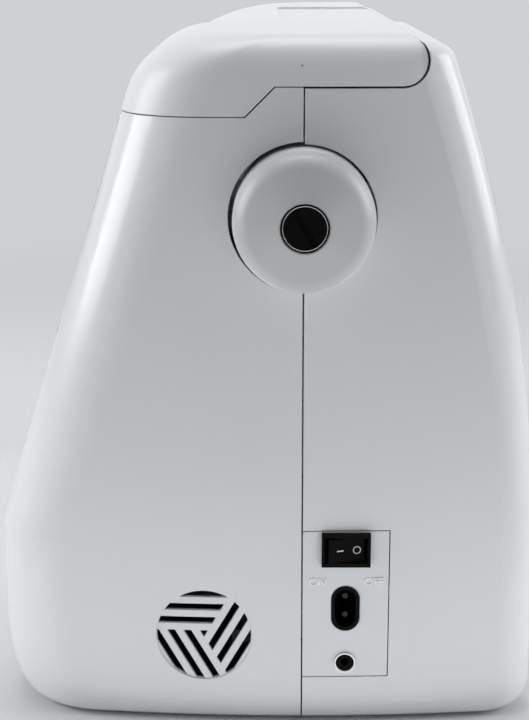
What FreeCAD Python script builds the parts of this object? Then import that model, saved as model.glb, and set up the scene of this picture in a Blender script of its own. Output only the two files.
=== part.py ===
import FreeCAD, Part
import math
import os
import Sketcher

# Sewing machine, millimetres. +X is the handwheel end, -Y the operator's side, +Z up.
# The origin lies on the table under the middle of the whole machine.

doc = FreeCAD.newDocument("sewing_machine")
sheet = doc.addObject("Spreadsheet::Sheet", "sizes")


class Size:
    """A length that knows both its number and the sheet formula that gives it."""

    def __init__(self, text, value):
        self.text = text
        self.value = value

    def __add__(self, other):
        other = as_size(other)
        return Size(f"({self.text} + {other.text})", self.value + other.value)

    def __sub__(self, other):
        other = as_size(other)
        return Size(f"({self.text} - {other.text})", self.value - other.value)

    def __mul__(self, other):
        other = as_size(other)
        return Size(f"({self.text} * {other.text})", self.value * other.value)

    def __truediv__(self, other):
        other = as_size(other)
        return Size(f"({self.text} / {other.text})", self.value / other.value)

    def __radd__(self, other):
        return as_size(other) + self

    def __rsub__(self, other):
        return as_size(other) - self

    def __rmul__(self, other):
        return as_size(other) * self

    def __neg__(self):
        return Size(f"(0 - {self.text})", -self.value)


def as_size(number):
    """A bare number taken as a size, and a size left as it is."""
    return number if isinstance(number, Size) else Size(repr(float(number)), float(number))


def sine(angle):
    return Size(f"sin({angle.text})", math.sin(math.radians(angle.value)))


def cosine(angle):
    return Size(f"cos({angle.text})", math.cos(math.radians(angle.value)))


class Sizes:
    """The sheet's driving sizes, each one an attribute."""

    def __init__(self):
        self.row = 0

    def add(self, values):
        for alias, value in values.items():
            self.row += 1
            sheet.set(f"A{self.row}", alias)
            sheet.set(f"B{self.row}", str(value))
            sheet.setAlias(f"B{self.row}", alias)
            setattr(self, alias, Size(f"sizes.{alias}", float(value)))


size = Sizes()

# Housing
housing_sizes = {
    "housing_length": 420, "wheel_reach": 25, "depth_front": 134.5, "depth_rear": 103,
    "foot_height": 1.2, "bed_height": 82, "top_height": 298, "rear_top_height": 294.5,
    "front_tilt": 17.5, "wall": 2.4, "seam_gap": 0.6, "end_bulge_radius": 750,
    "front_corner": 36, "rear_corner": 18, "head_corner": 24,
    "base_round_depth": 13, "base_round_height": 36, "base_rear_round": 11, "base_end_round": 4.5,
    "back_radius": 678, "back_spring_height": 56, "rear_top_round": 6, "arm_rear_step": 8,
    "arm_rear_step_x": -5,
    "throat_left": -105, "throat_right": 70, "arm_underside": 195, "head_underside": 150, "bed_left": -30,
}
size.add(housing_sizes)
# Lid
lid_sizes = {
    "lid_front_edge": 266, "lid_rear_edge": 278, "lid_step_front": 24, "lid_step_rear": 12,
    "lid_axis_back": 39.5, "lid_front_round": 36, "lid_end_round": 15, "lid_gap": 0.4,
    "lid_gap_rear": 0.8,
    "shoulder_near": 82, "shoulder_far": 40, "arm_lid_round": 100, "lid_lip": 2,
}
size.add(lid_sizes)

end_x = (size.housing_length - size.wheel_reach) / 2
head_x = -(size.housing_length + size.wheel_reach) / 2
split_y = (size.depth_front - size.depth_rear) / 2
front_y = split_y - size.depth_front
back_y = split_y + size.depth_rear
lid_axis_y = split_y + size.lid_axis_back
lid_nose = (size.top_height - size.lid_rear_edge) / 2
lid_axis_z = size.top_height - lid_nose

pieces = []


# Housing forms: plan outlines at several heights, joined into one smooth solid.

def arc(start, middle, end, height):
    points = [FreeCAD.Vector(p[0], p[1], height) for p in (start, middle, end)]
    return Part.Arc(*points).toShape()


def line(start, end, height):
    return Part.makeLine(FreeCAD.Vector(*start, height), FreeCAD.Vector(*end, height))


def along(centre, angle, radius):
    return centre[0] + radius * math.cos(angle), centre[1] + radius * math.sin(angle)


def shoulder(start, end, height):
    """A smooth S from one point to another, level at both ends."""
    middle = (start[0] + end[0]) / 2
    poles = (start, (middle, start[1]), (middle, end[1]), end)
    curve = Part.BezierCurve()
    curve.setPoles([FreeCAD.Vector(x, y, height) for x, y in poles])
    return curve.toShape()


def plan(height, front, back, left, end, bulge, front_radius, back_radius, left_radius, set_back=None):
    """Outline at one height: straight back and head end, and a bulged wheel end.

    The front is straight too, or stands back over the arm behind a shoulder next to the column.
    """
    middle = (end - bulge, split_y.value)
    corners = []
    for y, radius, side in ((front, front_radius, 1), (back, back_radius, -1)):
        centre_y = y + side * radius
        run = math.sqrt((bulge - radius) ** 2 - (centre_y - middle[1]) ** 2)
        centre = (middle[0] + run, centre_y)
        turn = math.atan2(centre[1] - middle[1], centre[0] - middle[0])
        corners.append((centre, radius, turn, y, side))
    edges = []
    (c_front, r_front, a_front, _, _), (c_back, r_back, a_back, _, _) = corners
    front_end = (c_front[0], front)
    front_meet = along(c_front, a_front, r_front)
    back_meet = along(c_back, a_back, r_back)
    back_end = (c_back[0], back)
    half_front = (a_front - math.pi / 2) / 2
    half_back = (a_back + math.pi / 2) / 2
    arm_front = front if set_back is None else front + set_back
    low = (left + left_radius, arm_front + left_radius)
    high = (left + left_radius, back - left_radius)
    if set_back is None:
        edges.append(line((low[0], front), front_end, height))
    else:
        near, far = size.shoulder_near.value, size.shoulder_far.value
        edges.append(line((low[0], arm_front), (far, arm_front), height))
        edges.append(shoulder((far, arm_front), (near, front), height))
        edges.append(line((near, front), front_end, height))
    edges.append(arc(front_end, along(c_front, half_front, r_front), front_meet, height))
    edges.append(arc(front_meet, (end, split_y.value), back_meet, height))
    edges.append(arc(back_meet, along(c_back, half_back, r_back), back_end, height))
    edges.append(line(back_end, (high[0], back), height))
    edges.append(arc((high[0], back), along(high, math.radians(135), left_radius), (left, high[1]),
                     height))
    edges.append(line((left, high[1]), (left, low[1]), height))
    edges.append(arc((left, low[1]), along(low, math.radians(225), left_radius), (low[0], arm_front),
                     height))
    return Part.Wire(edges)


def quarter(radius, rise):
    """How far a quarter round of this radius stands in, at this distance from its spring line."""
    return radius - math.sqrt(max(radius ** 2 - rise ** 2, 0.0))


def back_at(height):
    """Rear line of the covers: upright at the base, then one long arc leaning forward."""
    rise = max(height - size.back_spring_height.value, 0)
    return back_y.value - quarter(size.back_radius.value, rise)


def slant_at(height, inset):
    """Front line of the covers above the bed."""
    tilt = math.radians(size.front_tilt.value)
    rise = height - size.bed_height.value
    return front_y.value + rise * math.tan(tilt) + inset


def stack(heights, outline):
    """One solid through the outlines at these heights."""
    return Part.makeLoft([outline(height) for height in heights], True, False)


def rounded(low, high):
    """Heights from low to high, closer together where a round turns in."""
    return [low + (high - low) * math.sin(math.radians(a)) for a in (0, 22, 42, 60, 76, 90)]


def base_form(inset):
    """The foot of the column, from its rounded bottom up to bed height; the throat trims its left end."""
    bottom = size.foot_height.value + inset
    deep = size.base_round_depth.value - inset
    tall = size.base_round_height.value - inset
    rear = size.base_rear_round.value - inset
    ending = size.base_end_round.value - inset
    spring = size.foot_height.value + size.base_round_height.value

    def outline(height):
        below = max(spring - height, 0) / tall
        front = front_y.value + inset + deep * (1 - math.sqrt(max(1 - below ** 2, 0)))
        back = back_at(height) - inset - quarter(rear, max(bottom + rear - height, 0))
        tuck = inset + quarter(ending, max(bottom + ending - height, 0))
        return plan(
            height, front, back, size.bed_left.value, end_x.value - tuck,
            size.end_bulge_radius.value - inset, size.front_corner.value - inset,
            size.rear_corner.value - inset, size.base_end_round.value)

    foot = stack(rounded(bottom + ending, bottom), outline)
    sides = stack([bottom + ending, bottom + 0.6 * rear, bottom + rear, 0.5 * (bottom + rear + spring),
                   spring], outline)
    upright = stack([spring, size.bed_height.value], outline)
    return foot.fuse([sides, upright])


def arm_outline(height, inset, tuck):
    """Outline of column, arm and head at one height, drawn in by the tuck behind and at both ends."""
    return plan(
        height, slant_at(height, inset), back_at(height) - tuck, head_x.value + tuck,
        end_x.value - tuck, size.end_bulge_radius.value - inset, size.front_corner.value - inset,
        size.rear_corner.value - inset, size.head_corner.value - inset)


def arm_form(inset):
    """Column, arm and head above the bed, over the whole length, up to the rear cover's top."""
    top = size.rear_top_height.value - inset
    rounding = size.rear_top_round.value - inset
    start = size.bed_height.value
    spring = top - rounding

    def outline(height):
        return arm_outline(height, inset, inset + quarter(rounding, max(height - spring, 0)))

    sides = stack([start + (spring - start) * share for share in (0, 0.25, 0.5, 0.75, 1)], outline)
    crown = stack(rounded(spring, top), outline)
    return sides.fuse(crown)


def lid_form(inset):
    """The lid's outer skin before its rear nose is cut: slanted front rolling over to a flat top.

    The roll is tight over the column and wide over the arm.
    """
    top = size.top_height.value - inset
    tilt = math.radians(size.front_tilt.value)
    rolling = size.lid_front_round.value - inset
    ending = size.lid_end_round.value - inset
    centre_z = top - rolling
    centre_y = slant_at(centre_z, inset) + rolling / math.cos(tilt)
    roll_start = centre_z + rolling * math.sin(tilt)
    low = size.lid_front_edge.value - size.lid_end_round.value
    lip = size.lid_front_edge.value + size.lid_lip.value
    arm_round = size.arm_lid_round.value - inset
    arm_z = size.top_height.value - size.arm_lid_round.value
    arm_y = slant_at(lip, 0) + math.sqrt(size.arm_lid_round.value ** 2 - (lip - arm_z) ** 2)

    def outline(height):
        front = slant_at(height, inset)
        if height > roll_start:
            front = centre_y - math.sqrt(max(rolling ** 2 - (height - centre_z) ** 2, 0))
        arm_front = arm_y - math.sqrt(max(arm_round ** 2 - (height - arm_z) ** 2, 0))
        tuck = inset + quarter(ending, max(height - top + ending, 0))
        return plan(
            height, front, lid_axis_y.value + 2 * lid_nose.value - inset, head_x.value + tuck,
            end_x.value - tuck, size.end_bulge_radius.value - inset, size.front_corner.value - inset,
            size.rear_corner.value - inset, size.head_corner.value - inset, max(arm_front - front, 0))

    skirt = stack([low, lip], outline)
    spring = top - ending
    roll = stack([lip] + [roll_start + (spring - roll_start) * share for share in (0, 0.5, 1)], outline)
    crown = stack(rounded(spring, top), outline)
    return skirt.fuse([roll, crown])


# Building blocks: each takes sizes and ties its object to the sheet.

AXES = {
    "x": FreeCAD.Rotation(FreeCAD.Vector(0, 1, 0), 90),
    "y": FreeCAD.Rotation(FreeCAD.Vector(1, 0, 0), -90),
    "z": FreeCAD.Rotation(),
}


def bind(thing, **formulas):
    for name, formula in formulas.items():
        thing.setExpression(name, as_size(formula).text)


def place(thing, position, rotation=None):
    position = [as_size(value) for value in position]
    corner = FreeCAD.Vector(*[value.value for value in position])
    thing.Placement = FreeCAD.Placement(corner, rotation or FreeCAD.Rotation())
    for name, value in zip("xyz", position):
        thing.setExpression(f"Placement.Base.{name}", value.text)


def box(name, x, y, z):
    """A block between two planes each way."""
    block = doc.addObject("Part::Box", name)
    bind(block, Length=x[1] - x[0], Width=y[1] - y[0], Height=z[1] - z[0])
    place(block, (x[0], y[0], z[0]))
    return block


def axis_point(axis, start, across):
    """The point where a round piece starts, from its two places across its axis."""
    first, second = across
    return {"x": (start, first, second), "y": (first, start, second), "z": (first, second, start)}[axis]


def rod(name, axis, span, across, radius):
    """A cylinder along one axis, from span[0] to span[1]."""
    cylinder = doc.addObject("Part::Cylinder", name)
    bind(cylinder, Radius=radius, Height=span[1] - span[0])
    place(cylinder, axis_point(axis, span[0], across), AXES[axis])
    return cylinder


def tube(name, axis, span, across, outside, inside):
    return cut(name, rod(name + "_rod", axis, span, across, outside),
               rod(name + "_bore", axis, span, across, inside))


def join(name, *things):
    union = doc.addObject("Part::MultiFuse", name)
    union.Shapes = list(things)
    return union


def cut(name, base, *tools):
    result = doc.addObject("Part::Cut", name)
    result.Base = base
    result.Tool = tools[0] if len(tools) == 1 else join(name + "_tools", *tools)
    return result


def overlap(name, first, second):
    result = doc.addObject("Part::Common", name)
    result.Base = first
    result.Tool = second
    return result


def solid(name, shape):
    feature = doc.addObject("Part::Feature", name)
    feature.Shape = shape
    return feature


def piece(label, thing):
    """Names a finished sub-part."""
    thing.Label = label
    pieces.append(thing)
    return thing


def sketch_outline(body, role, points):
    """A closed sketch of straight lines whose corners are tied to the sheet."""
    sketch = body.newObject("Sketcher::SketchObject", body.Name + "_sketch")
    plane = next(feature for feature in body.Origin.OriginFeatures if feature.Role == role)
    sketch.AttachmentSupport = (plane, "")
    sketch.MapMode = "FlatFace"
    points = [(as_size(u), as_size(v)) for u, v in points]
    corners = [FreeCAD.Vector(u.value, v.value, 0) for u, v in points]
    for index, corner in enumerate(corners):
        sketch.addGeometry(Part.LineSegment(corner, corners[(index + 1) % len(corners)]), False)
    for index in range(len(corners)):
        sketch.addConstraint(Sketcher.Constraint("Coincident", index, 2, (index + 1) % len(corners), 1))
    for index, pair in enumerate(points):
        for kind, value in zip(("DistanceX", "DistanceY"), pair):
            row = sketch.addConstraint(Sketcher.Constraint(kind, -1, 1, index, 1, value.value))
            sketch.setExpression(f"Constraints[{row}]", value.text)
    return sketch


def turned(name, axis, start, across, points):
    """A turned piece: points are (radius, distance along the axis from start)."""
    body = doc.addObject("PartDesign::Body", name)
    spin = body.newObject("PartDesign::Revolution", name + "_turn")
    profile = sketch_outline(body, "XZ_Plane", points)
    spin.Profile = profile
    spin.ReferenceAxis = (profile, ["V_Axis"])
    spin.Angle = 360
    body.Tip = spin
    place(body, axis_point(axis, start, across), AXES[axis])
    return body


def soften(body, radius, chosen):
    """Rounds the edges of a body's last feature that the test chosen(edge) picks."""
    doc.recompute()
    base = body.Tip
    names = [f"Edge{number + 1}" for number, edge in enumerate(base.Shape.Edges) if chosen(edge)]
    fillet = body.newObject("PartDesign::Fillet", base.Name + "_round")
    fillet.Base = (base, names)
    bind(fillet, Radius=radius)
    body.Tip = fillet
    return body


def slab(name, axis, start, thickness, points):
    """A plate of straight outline, square to one axis: points are its other two places."""
    body = doc.addObject("PartDesign::Body", name)
    pad = body.newObject("PartDesign::Pad", name + "_pad")
    pad.Profile = sketch_outline(body, "XY_Plane", points)
    bind(pad, Length=thickness)
    body.Tip = pad
    turn = {"z": FreeCAD.Rotation(), "x": FreeCAD.Rotation(FreeCAD.Vector(1, 1, 1), 120)}[axis]
    place(body, axis_point(axis, start, (0, 0)), turn)
    return body


def on_front(run, climb, rise):
    """A place on the slanted front: along X, up the slope from bed height, and out of the surface."""
    sin_tilt, cos_tilt = sine(size.front_tilt), cosine(size.front_tilt)
    y = front_y + climb * sin_tilt - rise * cos_tilt
    z = size.bed_height + climb * cos_tilt + rise * sin_tilt
    return run, y, z


def face_front(thing, run, climb, rise):
    """Puts a piece drawn flat onto the slanted front, its own Z pointing out of the surface."""
    turn = FreeCAD.Rotation(FreeCAD.Vector(1, 0, 0), 90 - size.front_tilt.value)
    place(thing, on_front(as_size(run), as_size(climb), as_size(rise)), turn)
    thing.setExpression("Placement.Rotation.Angle", (90 - size.front_tilt).text)
    return thing


def front_plate(name, run, climb, rise):
    """A block on the slanted front, between two places along X, up the slope and out of the surface."""
    block = doc.addObject("Part::Box", name)
    bind(block, Length=run[1] - run[0], Width=climb[1] - climb[0], Height=rise[1] - rise[0])
    return face_front(block, run[0], climb[0], rise[0])


def front_rod(name, run, climb, rise, radius):
    """A round piece standing out of the slanted front."""
    cylinder = doc.addObject("Part::Cylinder", name)
    bind(cylinder, Radius=radius, Height=rise[1] - rise[0])
    return face_front(cylinder, run, climb, rise[0])


def grown(span, gap):
    """A span made longer by the gap at both ends."""
    return span[0] - gap, span[1] + gap


# Covers: one hollow form, divided at the split plane and along the lid's lower edge.

cover_sizes = {
    "wheel_radius": 29, "wheel_gap": 1.1, "wheel_gap_front": 2, "shaft_height": 225, "shaft_radius": 5,
    "panel_width": 37.5, "panel_low": 22, "panel_high": 89.5, "panel_gap": 0.4,
    "vent_offset": 42.7, "vent_height": 41, "vent_radius": 21, "vent_recess": 0.6, "vent_edge": 0.4,
    "vent_slot": 3.05, "vent_pitch": 6.2, "vent_first": 4.3, "vent_centre": 1.05, "fan_rise": 0.9,
    "face_cover_x": -198, "opening_front": 18, "opening_rear": 78, "opening_margin": 8,
    "tray_gap": 0.5, "tray_margin": 9, "tray_front_margin": 16, "tray_thickness": 2.5, "tray_end_margin": 14,
    "passage_half": 44, "passage_low": 9, "passage_high": 72,
}
size.add(cover_sizes)
shaft_z = size.shaft_height
reach = 2 * size.top_height
through = (front_y - reach, back_y + reach)
whole_length = (head_x - reach, end_x + reach)
half_gap = size.seam_gap / 2


def throat_form(name, grow):
    """The work space under the arm and head, right through from front to back."""
    low = size.bed_height - reach
    under_arm = box(name + "_arm", (size.throat_left - grow, size.throat_right + grow), through,
                    (low, size.arm_underside + grow))
    under_head = box(name + "_head", (head_x - reach, size.throat_left + grow), through,
                     (low, size.head_underside + grow))
    return join(name, under_arm, under_head)


def rear_step(name, grow):
    """What is taken off the back of the arm and head, so that they stand in from the column."""
    block = box(name + "_block", (head_x - reach, size.arm_rear_step_x + grow), (split_y, back_y + reach),
                (0, size.top_height + reach))
    drum = rod(name + "_drum", "x", (head_x - 2 * reach, end_x + reach),
               (back_y - size.back_radius, size.back_spring_height),
               size.back_radius - size.arm_rear_step - grow)
    return cut(name, block, drum)


def lid_zone(name, gap):
    """The region above the lid's lower edge, with its round rear nose, as a bar along X."""
    low_front = size.lid_front_edge - gap
    low_rear = size.lid_rear_edge - gap
    high = size.top_height + reach
    bar = slab(name + "_bar", "x", head_x - reach, size.housing_length + 2 * reach, [
        (through[0], low_front), (split_y - size.lid_step_front + gap, low_front),
        (split_y - size.lid_step_rear + gap, low_rear), (lid_axis_y, low_rear),
        (lid_axis_y, high), (through[0], high)])
    nose = rod(name + "_nose", "x", whole_length, (lid_axis_y, lid_axis_z), lid_nose + gap)
    return join(name, bar, nose)


def vent_slots():
    """Three fans of three slots, each fan a third of a turn on from the last."""
    radius = size.vent_radius.value
    width, pitch, first = size.vent_slot.value, size.vent_pitch.value, size.vent_first.value
    middle, rise = size.vent_centre.value, size.fan_rise.value
    deep = 2 * size.wall.value + size.front_corner.value

    def sheet_bar(corners):
        loop = [FreeCAD.Vector(0, u, v) for u, v in corners + corners[:1]]
        return Part.Face(Part.makePolygon(loop)).extrude(FreeCAD.Vector(deep, 0, 0))

    def slot_end(height):
        """Where a slot stops, on the slanted line that passes the small middle triangle."""
        return (middle + height * math.cos(math.radians(60))) / math.sin(math.radians(60))

    bars = []
    for row in range(3):
        low = first + row * pitch
        high = low + width
        bars.append(sheet_bar([(-2 * radius, low), (slot_end(low), low), (slot_end(high), high),
                               (-2 * radius, high)]))
    fans = []
    for number in range(3):
        for bar in bars:
            copy = bar.copy()
            copy.rotate(FreeCAD.Vector(), FreeCAD.Vector(1, 0, 0), 120 * number)
            fans.append(copy)
    triangle = sheet_bar([along((0, 0), math.radians(turn), 2 * middle) for turn in (30, 150, 270)])
    disc = Part.makeCylinder(radius - size.vent_edge.value, deep, FreeCAD.Vector(0, 0, -rise),
                             FreeCAD.Vector(1, 0, 0))
    return triangle.fuse(fans).common(disc)


covers_outer = cut("covers_outer", solid("covers_form", base_form(0).fuse(arm_form(0))),
                   throat_form("throat", as_size(0)), rear_step("arm_step", as_size(0)))
covers_hollow = cut("covers_hollow", solid("hollow_form",
                                           base_form(size.wall.value).fuse(arm_form(size.wall.value))),
                    throat_form("throat_wall", size.wall), rear_step("arm_step_wall", size.wall))
covers_shell = cut("covers_shell", covers_outer, covers_hollow)
lid_room = lid_zone("lid_room", size.lid_gap)
rear_lid_room = lid_zone("rear_lid_room", size.lid_gap_rear)
shell_open = cut(
    "covers_open", covers_shell, lid_room,
    box("head_opening", (head_x + size.opening_margin, size.throat_left - size.opening_margin),
        (split_y - size.opening_front, split_y + size.opening_rear),
        (size.head_underside - size.wall, size.head_underside + 2 * size.wall)),
    box("tray_opening", (size.throat_right - size.wall, end_x - size.tray_end_margin),
        (front_y + size.base_round_depth + size.tray_front_margin,
         back_y - size.base_rear_round - size.tray_margin),
        (0, size.foot_height + 2 * size.wall)),
    box("bed_passage", (size.throat_right - size.wall, size.throat_right + 2 * size.wall),
        (split_y - size.passage_half, split_y + size.passage_half),
        (size.passage_low, size.passage_high)))
high = (0 - reach, size.top_height + reach)
front_half = box("front_half", (size.face_cover_x + half_gap, end_x + reach),
                 (through[0], split_y - half_gap), high)
rear_half = box("rear_half", (size.face_cover_x + half_gap, end_x + reach),
                (split_y + half_gap, through[1]), high)
head_end = box("head_end", (head_x - reach, size.face_cover_x - half_gap), through, high)
wheel_depth = (end_x - size.front_corner, end_x + reach)
wheel_room = rod("wheel_room", "x", wheel_depth, (split_y, shaft_z), size.wheel_radius + size.wheel_gap)
front_wheel_room = rod("front_wheel_room", "x", wheel_depth, (split_y, shaft_z),
                       size.wheel_radius + size.wheel_gap_front)
panel_room = box("panel_room", (end_x - size.front_corner, end_x + reach),
                 (split_y, split_y + size.panel_width + size.panel_gap),
                 (size.panel_low - size.panel_gap, size.panel_high + size.panel_gap))
vent_room = solid("vent_room", vent_slots())
place(vent_room, (end_x - size.front_corner / 2, split_y - size.vent_offset,
                  size.vent_height + size.fan_rise))
vent_floor = solid("vent_floor", base_form(0))
place(vent_floor, (0 - size.vent_recess, 0, 0))
vent_dish = cut("vent_dish", rod("vent_disc", "x", (end_x - size.front_corner / 2, end_x + reach),
                                 (split_y - size.vent_offset, size.vent_height), size.vent_radius),
                                 vent_floor)

# Openings in the slanted front
front_sizes = {
    "needle_x": -165, "take_up_x": -181, "take_up_slot": 7, "take_up_low": 112, "take_up_high": 182,
    "button_climb": 92, "button_gap": 0.35, "start_radius": 7.5, "button_radius": 5.5, "start_x": -122,
    "button_pitch": 18,
    "slider_low": -88, "slider_high": -38, "slider_climb": 140, "slider_slot": 3.4,
    "panel_left": 78, "panel_right": 156, "panel_bottom": 62, "panel_top": 172, "fascia_gap": 0.4,
    "dial_x": -140, "dial_climb": 166, "dial_radius": 17, "dial_width": 9, "dial_proud": 4,
    "dial_gap": 0.8, "dial_slot": 14.5,
}
size.add(front_sizes)
button_runs = [size.start_x] + [size.start_x - size.button_pitch * number for number in (1, 2)]
button_radii = [size.start_radius] + 2 * [size.button_radius]
deep_cut = (-3 * size.wall, 3 * size.wall)
front_openings = [
    front_plate("take_up_opening", (size.take_up_x - size.take_up_slot / 2,
                                    size.take_up_x + size.take_up_slot / 2),
                (size.take_up_low, size.take_up_high), deep_cut),
    front_plate("slider_opening", (size.slider_low, size.slider_high),
                (size.slider_climb - size.slider_slot / 2, size.slider_climb + size.slider_slot / 2),
                deep_cut),
    front_plate("fascia_opening", (size.panel_left, size.panel_right),
                (size.panel_bottom, size.panel_top), deep_cut),
    front_plate("dial_opening", (size.dial_x - size.dial_width / 2 - size.dial_gap,
                                 size.dial_x + size.dial_width / 2 + size.dial_gap),
                (size.dial_climb - size.dial_slot, size.dial_climb + size.dial_slot), deep_cut),
]
for number, (run, radius) in enumerate(zip(button_runs, button_radii)):
    front_openings.append(front_rod(f"button_opening_{number}", run, size.button_climb, deep_cut,
                                    radius + size.button_gap))

front_cover = piece("front_cover", cut(
    "front_cover", overlap("front_blank", shell_open, front_half), front_wheel_room, vent_dish, vent_room,
    *front_openings))

# Carry handle place on the back of the arm
handle_sizes = {
    "handle_left": -128, "handle_right": -22, "handle_arm": 9, "handle_depth": 6.5, "handle_drop": 46,
    "handle_height": 268,
    "handle_back": 70, "handle_lean": 15.5, "handle_pin": 2.5, "handle_lug": 7, "lug_rim": 1.5,
    "lug_back": 2, "handle_clear": 0.4, "pin_fit": 0.04,
}
size.add(handle_sizes)
handle_y = split_y + size.handle_back
lug_height = 2 * (size.handle_pin + size.lug_rim)
lugs = []
for number, (side, inner) in enumerate(((-1, size.handle_left), (1, size.handle_right))):
    near = inner + side * size.handle_clear
    far = near + side * size.handle_lug
    span = (far, near) if side < 0 else (near, far)
    lugs.append(box(f"handle_lug_{number}", span, (split_y + size.lid_axis_back + 2 * size.rear_top_round,
                                                   handle_y + size.handle_pin + size.lug_back),
                    (size.handle_height - lug_height / 2, size.handle_height + lug_height / 2)))
handle_lugs = cut("handle_lugs", join("lug_outer", *lugs), covers_hollow)
handle_bore = rod("handle_bore", "x", (size.handle_left - 2 * size.handle_lug,
                                       size.handle_right + 2 * size.handle_lug),
                  (handle_y, size.handle_height), size.handle_pin)
rear_cover = piece("rear_cover", cut(
    "rear_cover", join("rear_blank", overlap("rear_shell", shell_open, rear_half), handle_lugs),
    rear_lid_room, wheel_room, panel_room, handle_bore))
face_cover = piece("face_cover", cut("face_cover", overlap("face_shell", shell_open, head_end),
                                     rear_lid_room))

# Lid
hinge_sizes = {"lid_recess_near": 176, "lid_recess_far": 318, "lid_recess_front": 9,
               "lid_recess_depth": 1.2, "hinge_pin": 2, "hinge_eye_width": 8, "hinge_inset": 30,
               "hinge_post": 4.5, "hinge_gap": 0.5, "hinge_notch": 1.5}
size.add(hinge_sizes)
lid_inner_zone = join(
    "lid_inner_zone",
    box("lid_inner_bar", whole_length, (through[0], lid_axis_y), high),
    rod("lid_inner_nose", "x", whole_length, (lid_axis_y, lid_axis_z), lid_nose - size.wall))
lid_hollow = overlap("lid_hollow", solid("lid_hollow_form", lid_form(size.wall.value)), lid_inner_zone)
lid_blank = overlap("lid_blank", solid("lid_outer_form", lid_form(0)),
                    lid_zone("lid_outline", as_size(0)))
lid_recess = box("lid_recess", (end_x - size.lid_recess_far, end_x - size.lid_recess_near),
                 (split_y - size.lid_recess_front, lid_axis_y + lid_nose + size.wall),
                 (size.top_height - size.lid_recess_depth, size.top_height + reach))
hinge_places = (head_x + size.hinge_inset, end_x - size.hinge_inset - size.hinge_eye_width)
eyes = []
for number, place_x in enumerate(hinge_places):
    span = (place_x, place_x + size.hinge_eye_width)
    eyes.append(rod(f"lid_eye_{number}", "x", span, (lid_axis_y, lid_axis_z), lid_nose - size.wall / 2))
hinge_bores = [rod(f"hinge_bore_{number}", "x", (place_x - size.wall,
                                                 place_x + size.hinge_eye_width + size.wall),
                   (lid_axis_y, lid_axis_z), size.hinge_pin + size.pin_fit) for number,
                   place_x in enumerate(hinge_places)]
post_spans = []
for place_x in hinge_places:
    post_spans.append((place_x - size.hinge_gap - size.hinge_post, place_x - size.hinge_gap))
    far = place_x + size.hinge_eye_width
    post_spans.append((far + size.hinge_gap, far + size.hinge_gap + size.hinge_post))
post_notches = [box(f"post_notch_{number}", (span[0] - size.hinge_gap, span[1] + size.hinge_gap),
                    (lid_axis_y - size.hinge_pin, lid_axis_y + 2 * lid_nose),
                    (lid_axis_z - 2 * lid_nose, lid_axis_z + size.hinge_notch)) for number,
                    span in enumerate(post_spans)]
top_lid = piece("top_lid", cut(
    "top_lid",
    join("lid_with_eyes", cut("lid_skin", lid_blank, lid_hollow, lid_recess, *post_notches), *eyes),
    *hinge_bores))

# Bed: a block in front of the column that runs on as the free arm
bed_sizes = {
    "bed_rear": 72, "bed_top_round": 3, "arm_left": -206, "arm_front": 46, "arm_rear": 48,
    "arm_bottom": 9,
}
size.add(bed_sizes)
bed_rear_y = split_y + size.bed_rear
arm_front_y = split_y - size.arm_front
arm_rear_y = split_y + size.arm_rear
bed_z = size.bed_height
foot_z = size.foot_height


def bed_bar(name, left, right, inset):
    """A bar along X with the rounded front foot that the bed and the accessory box share."""
    bottom = foot_z.value + inset.value
    spring = foot_z.value + size.base_round_height.value
    front = front_y.value + inset.value
    top = bed_z.value - inset.value
    centre = front_y.value + size.base_round_depth.value
    deep, tall = size.base_round_depth.value - inset.value, size.base_round_height.value - inset.value
    rear = bed_rear_y.value - inset.value
    rounding = max(size.bed_top_round.value - inset.value, 0.2)
    point = lambda y, z: FreeCAD.Vector(left.value, y, z)
    ellipse = Part.Ellipse(point(centre, spring + tall), point(centre + deep, spring),
                           point(centre, spring))
    foot = Part.Arc(ellipse, math.radians(180), math.radians(270)).toShape()
    ends = [vertex.Point for vertex in foot.Vertexes]
    high = max(ends, key=lambda end: end.z)
    low = min(ends, key=lambda end: end.z)
    turn = rounding * (1 - math.sqrt(0.5))
    lip = Part.Arc(point(front, top - rounding), point(front + turn, top - turn),
                   point(front + rounding, top)).toShape()
    edges = [foot, Part.makeLine(high, point(front, top - rounding)), lip,
             Part.makeLine(point(front + rounding, top), point(rear, top)),
             Part.makeLine(point(rear, top), point(rear, bottom)),
             Part.makeLine(point(rear, bottom), low)]
    face = Part.Face(Part.Wire(Part.__sortEdges__(edges)))
    return solid(name, face.extrude(FreeCAD.Vector((right - left).value, 0, 0)))


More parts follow.
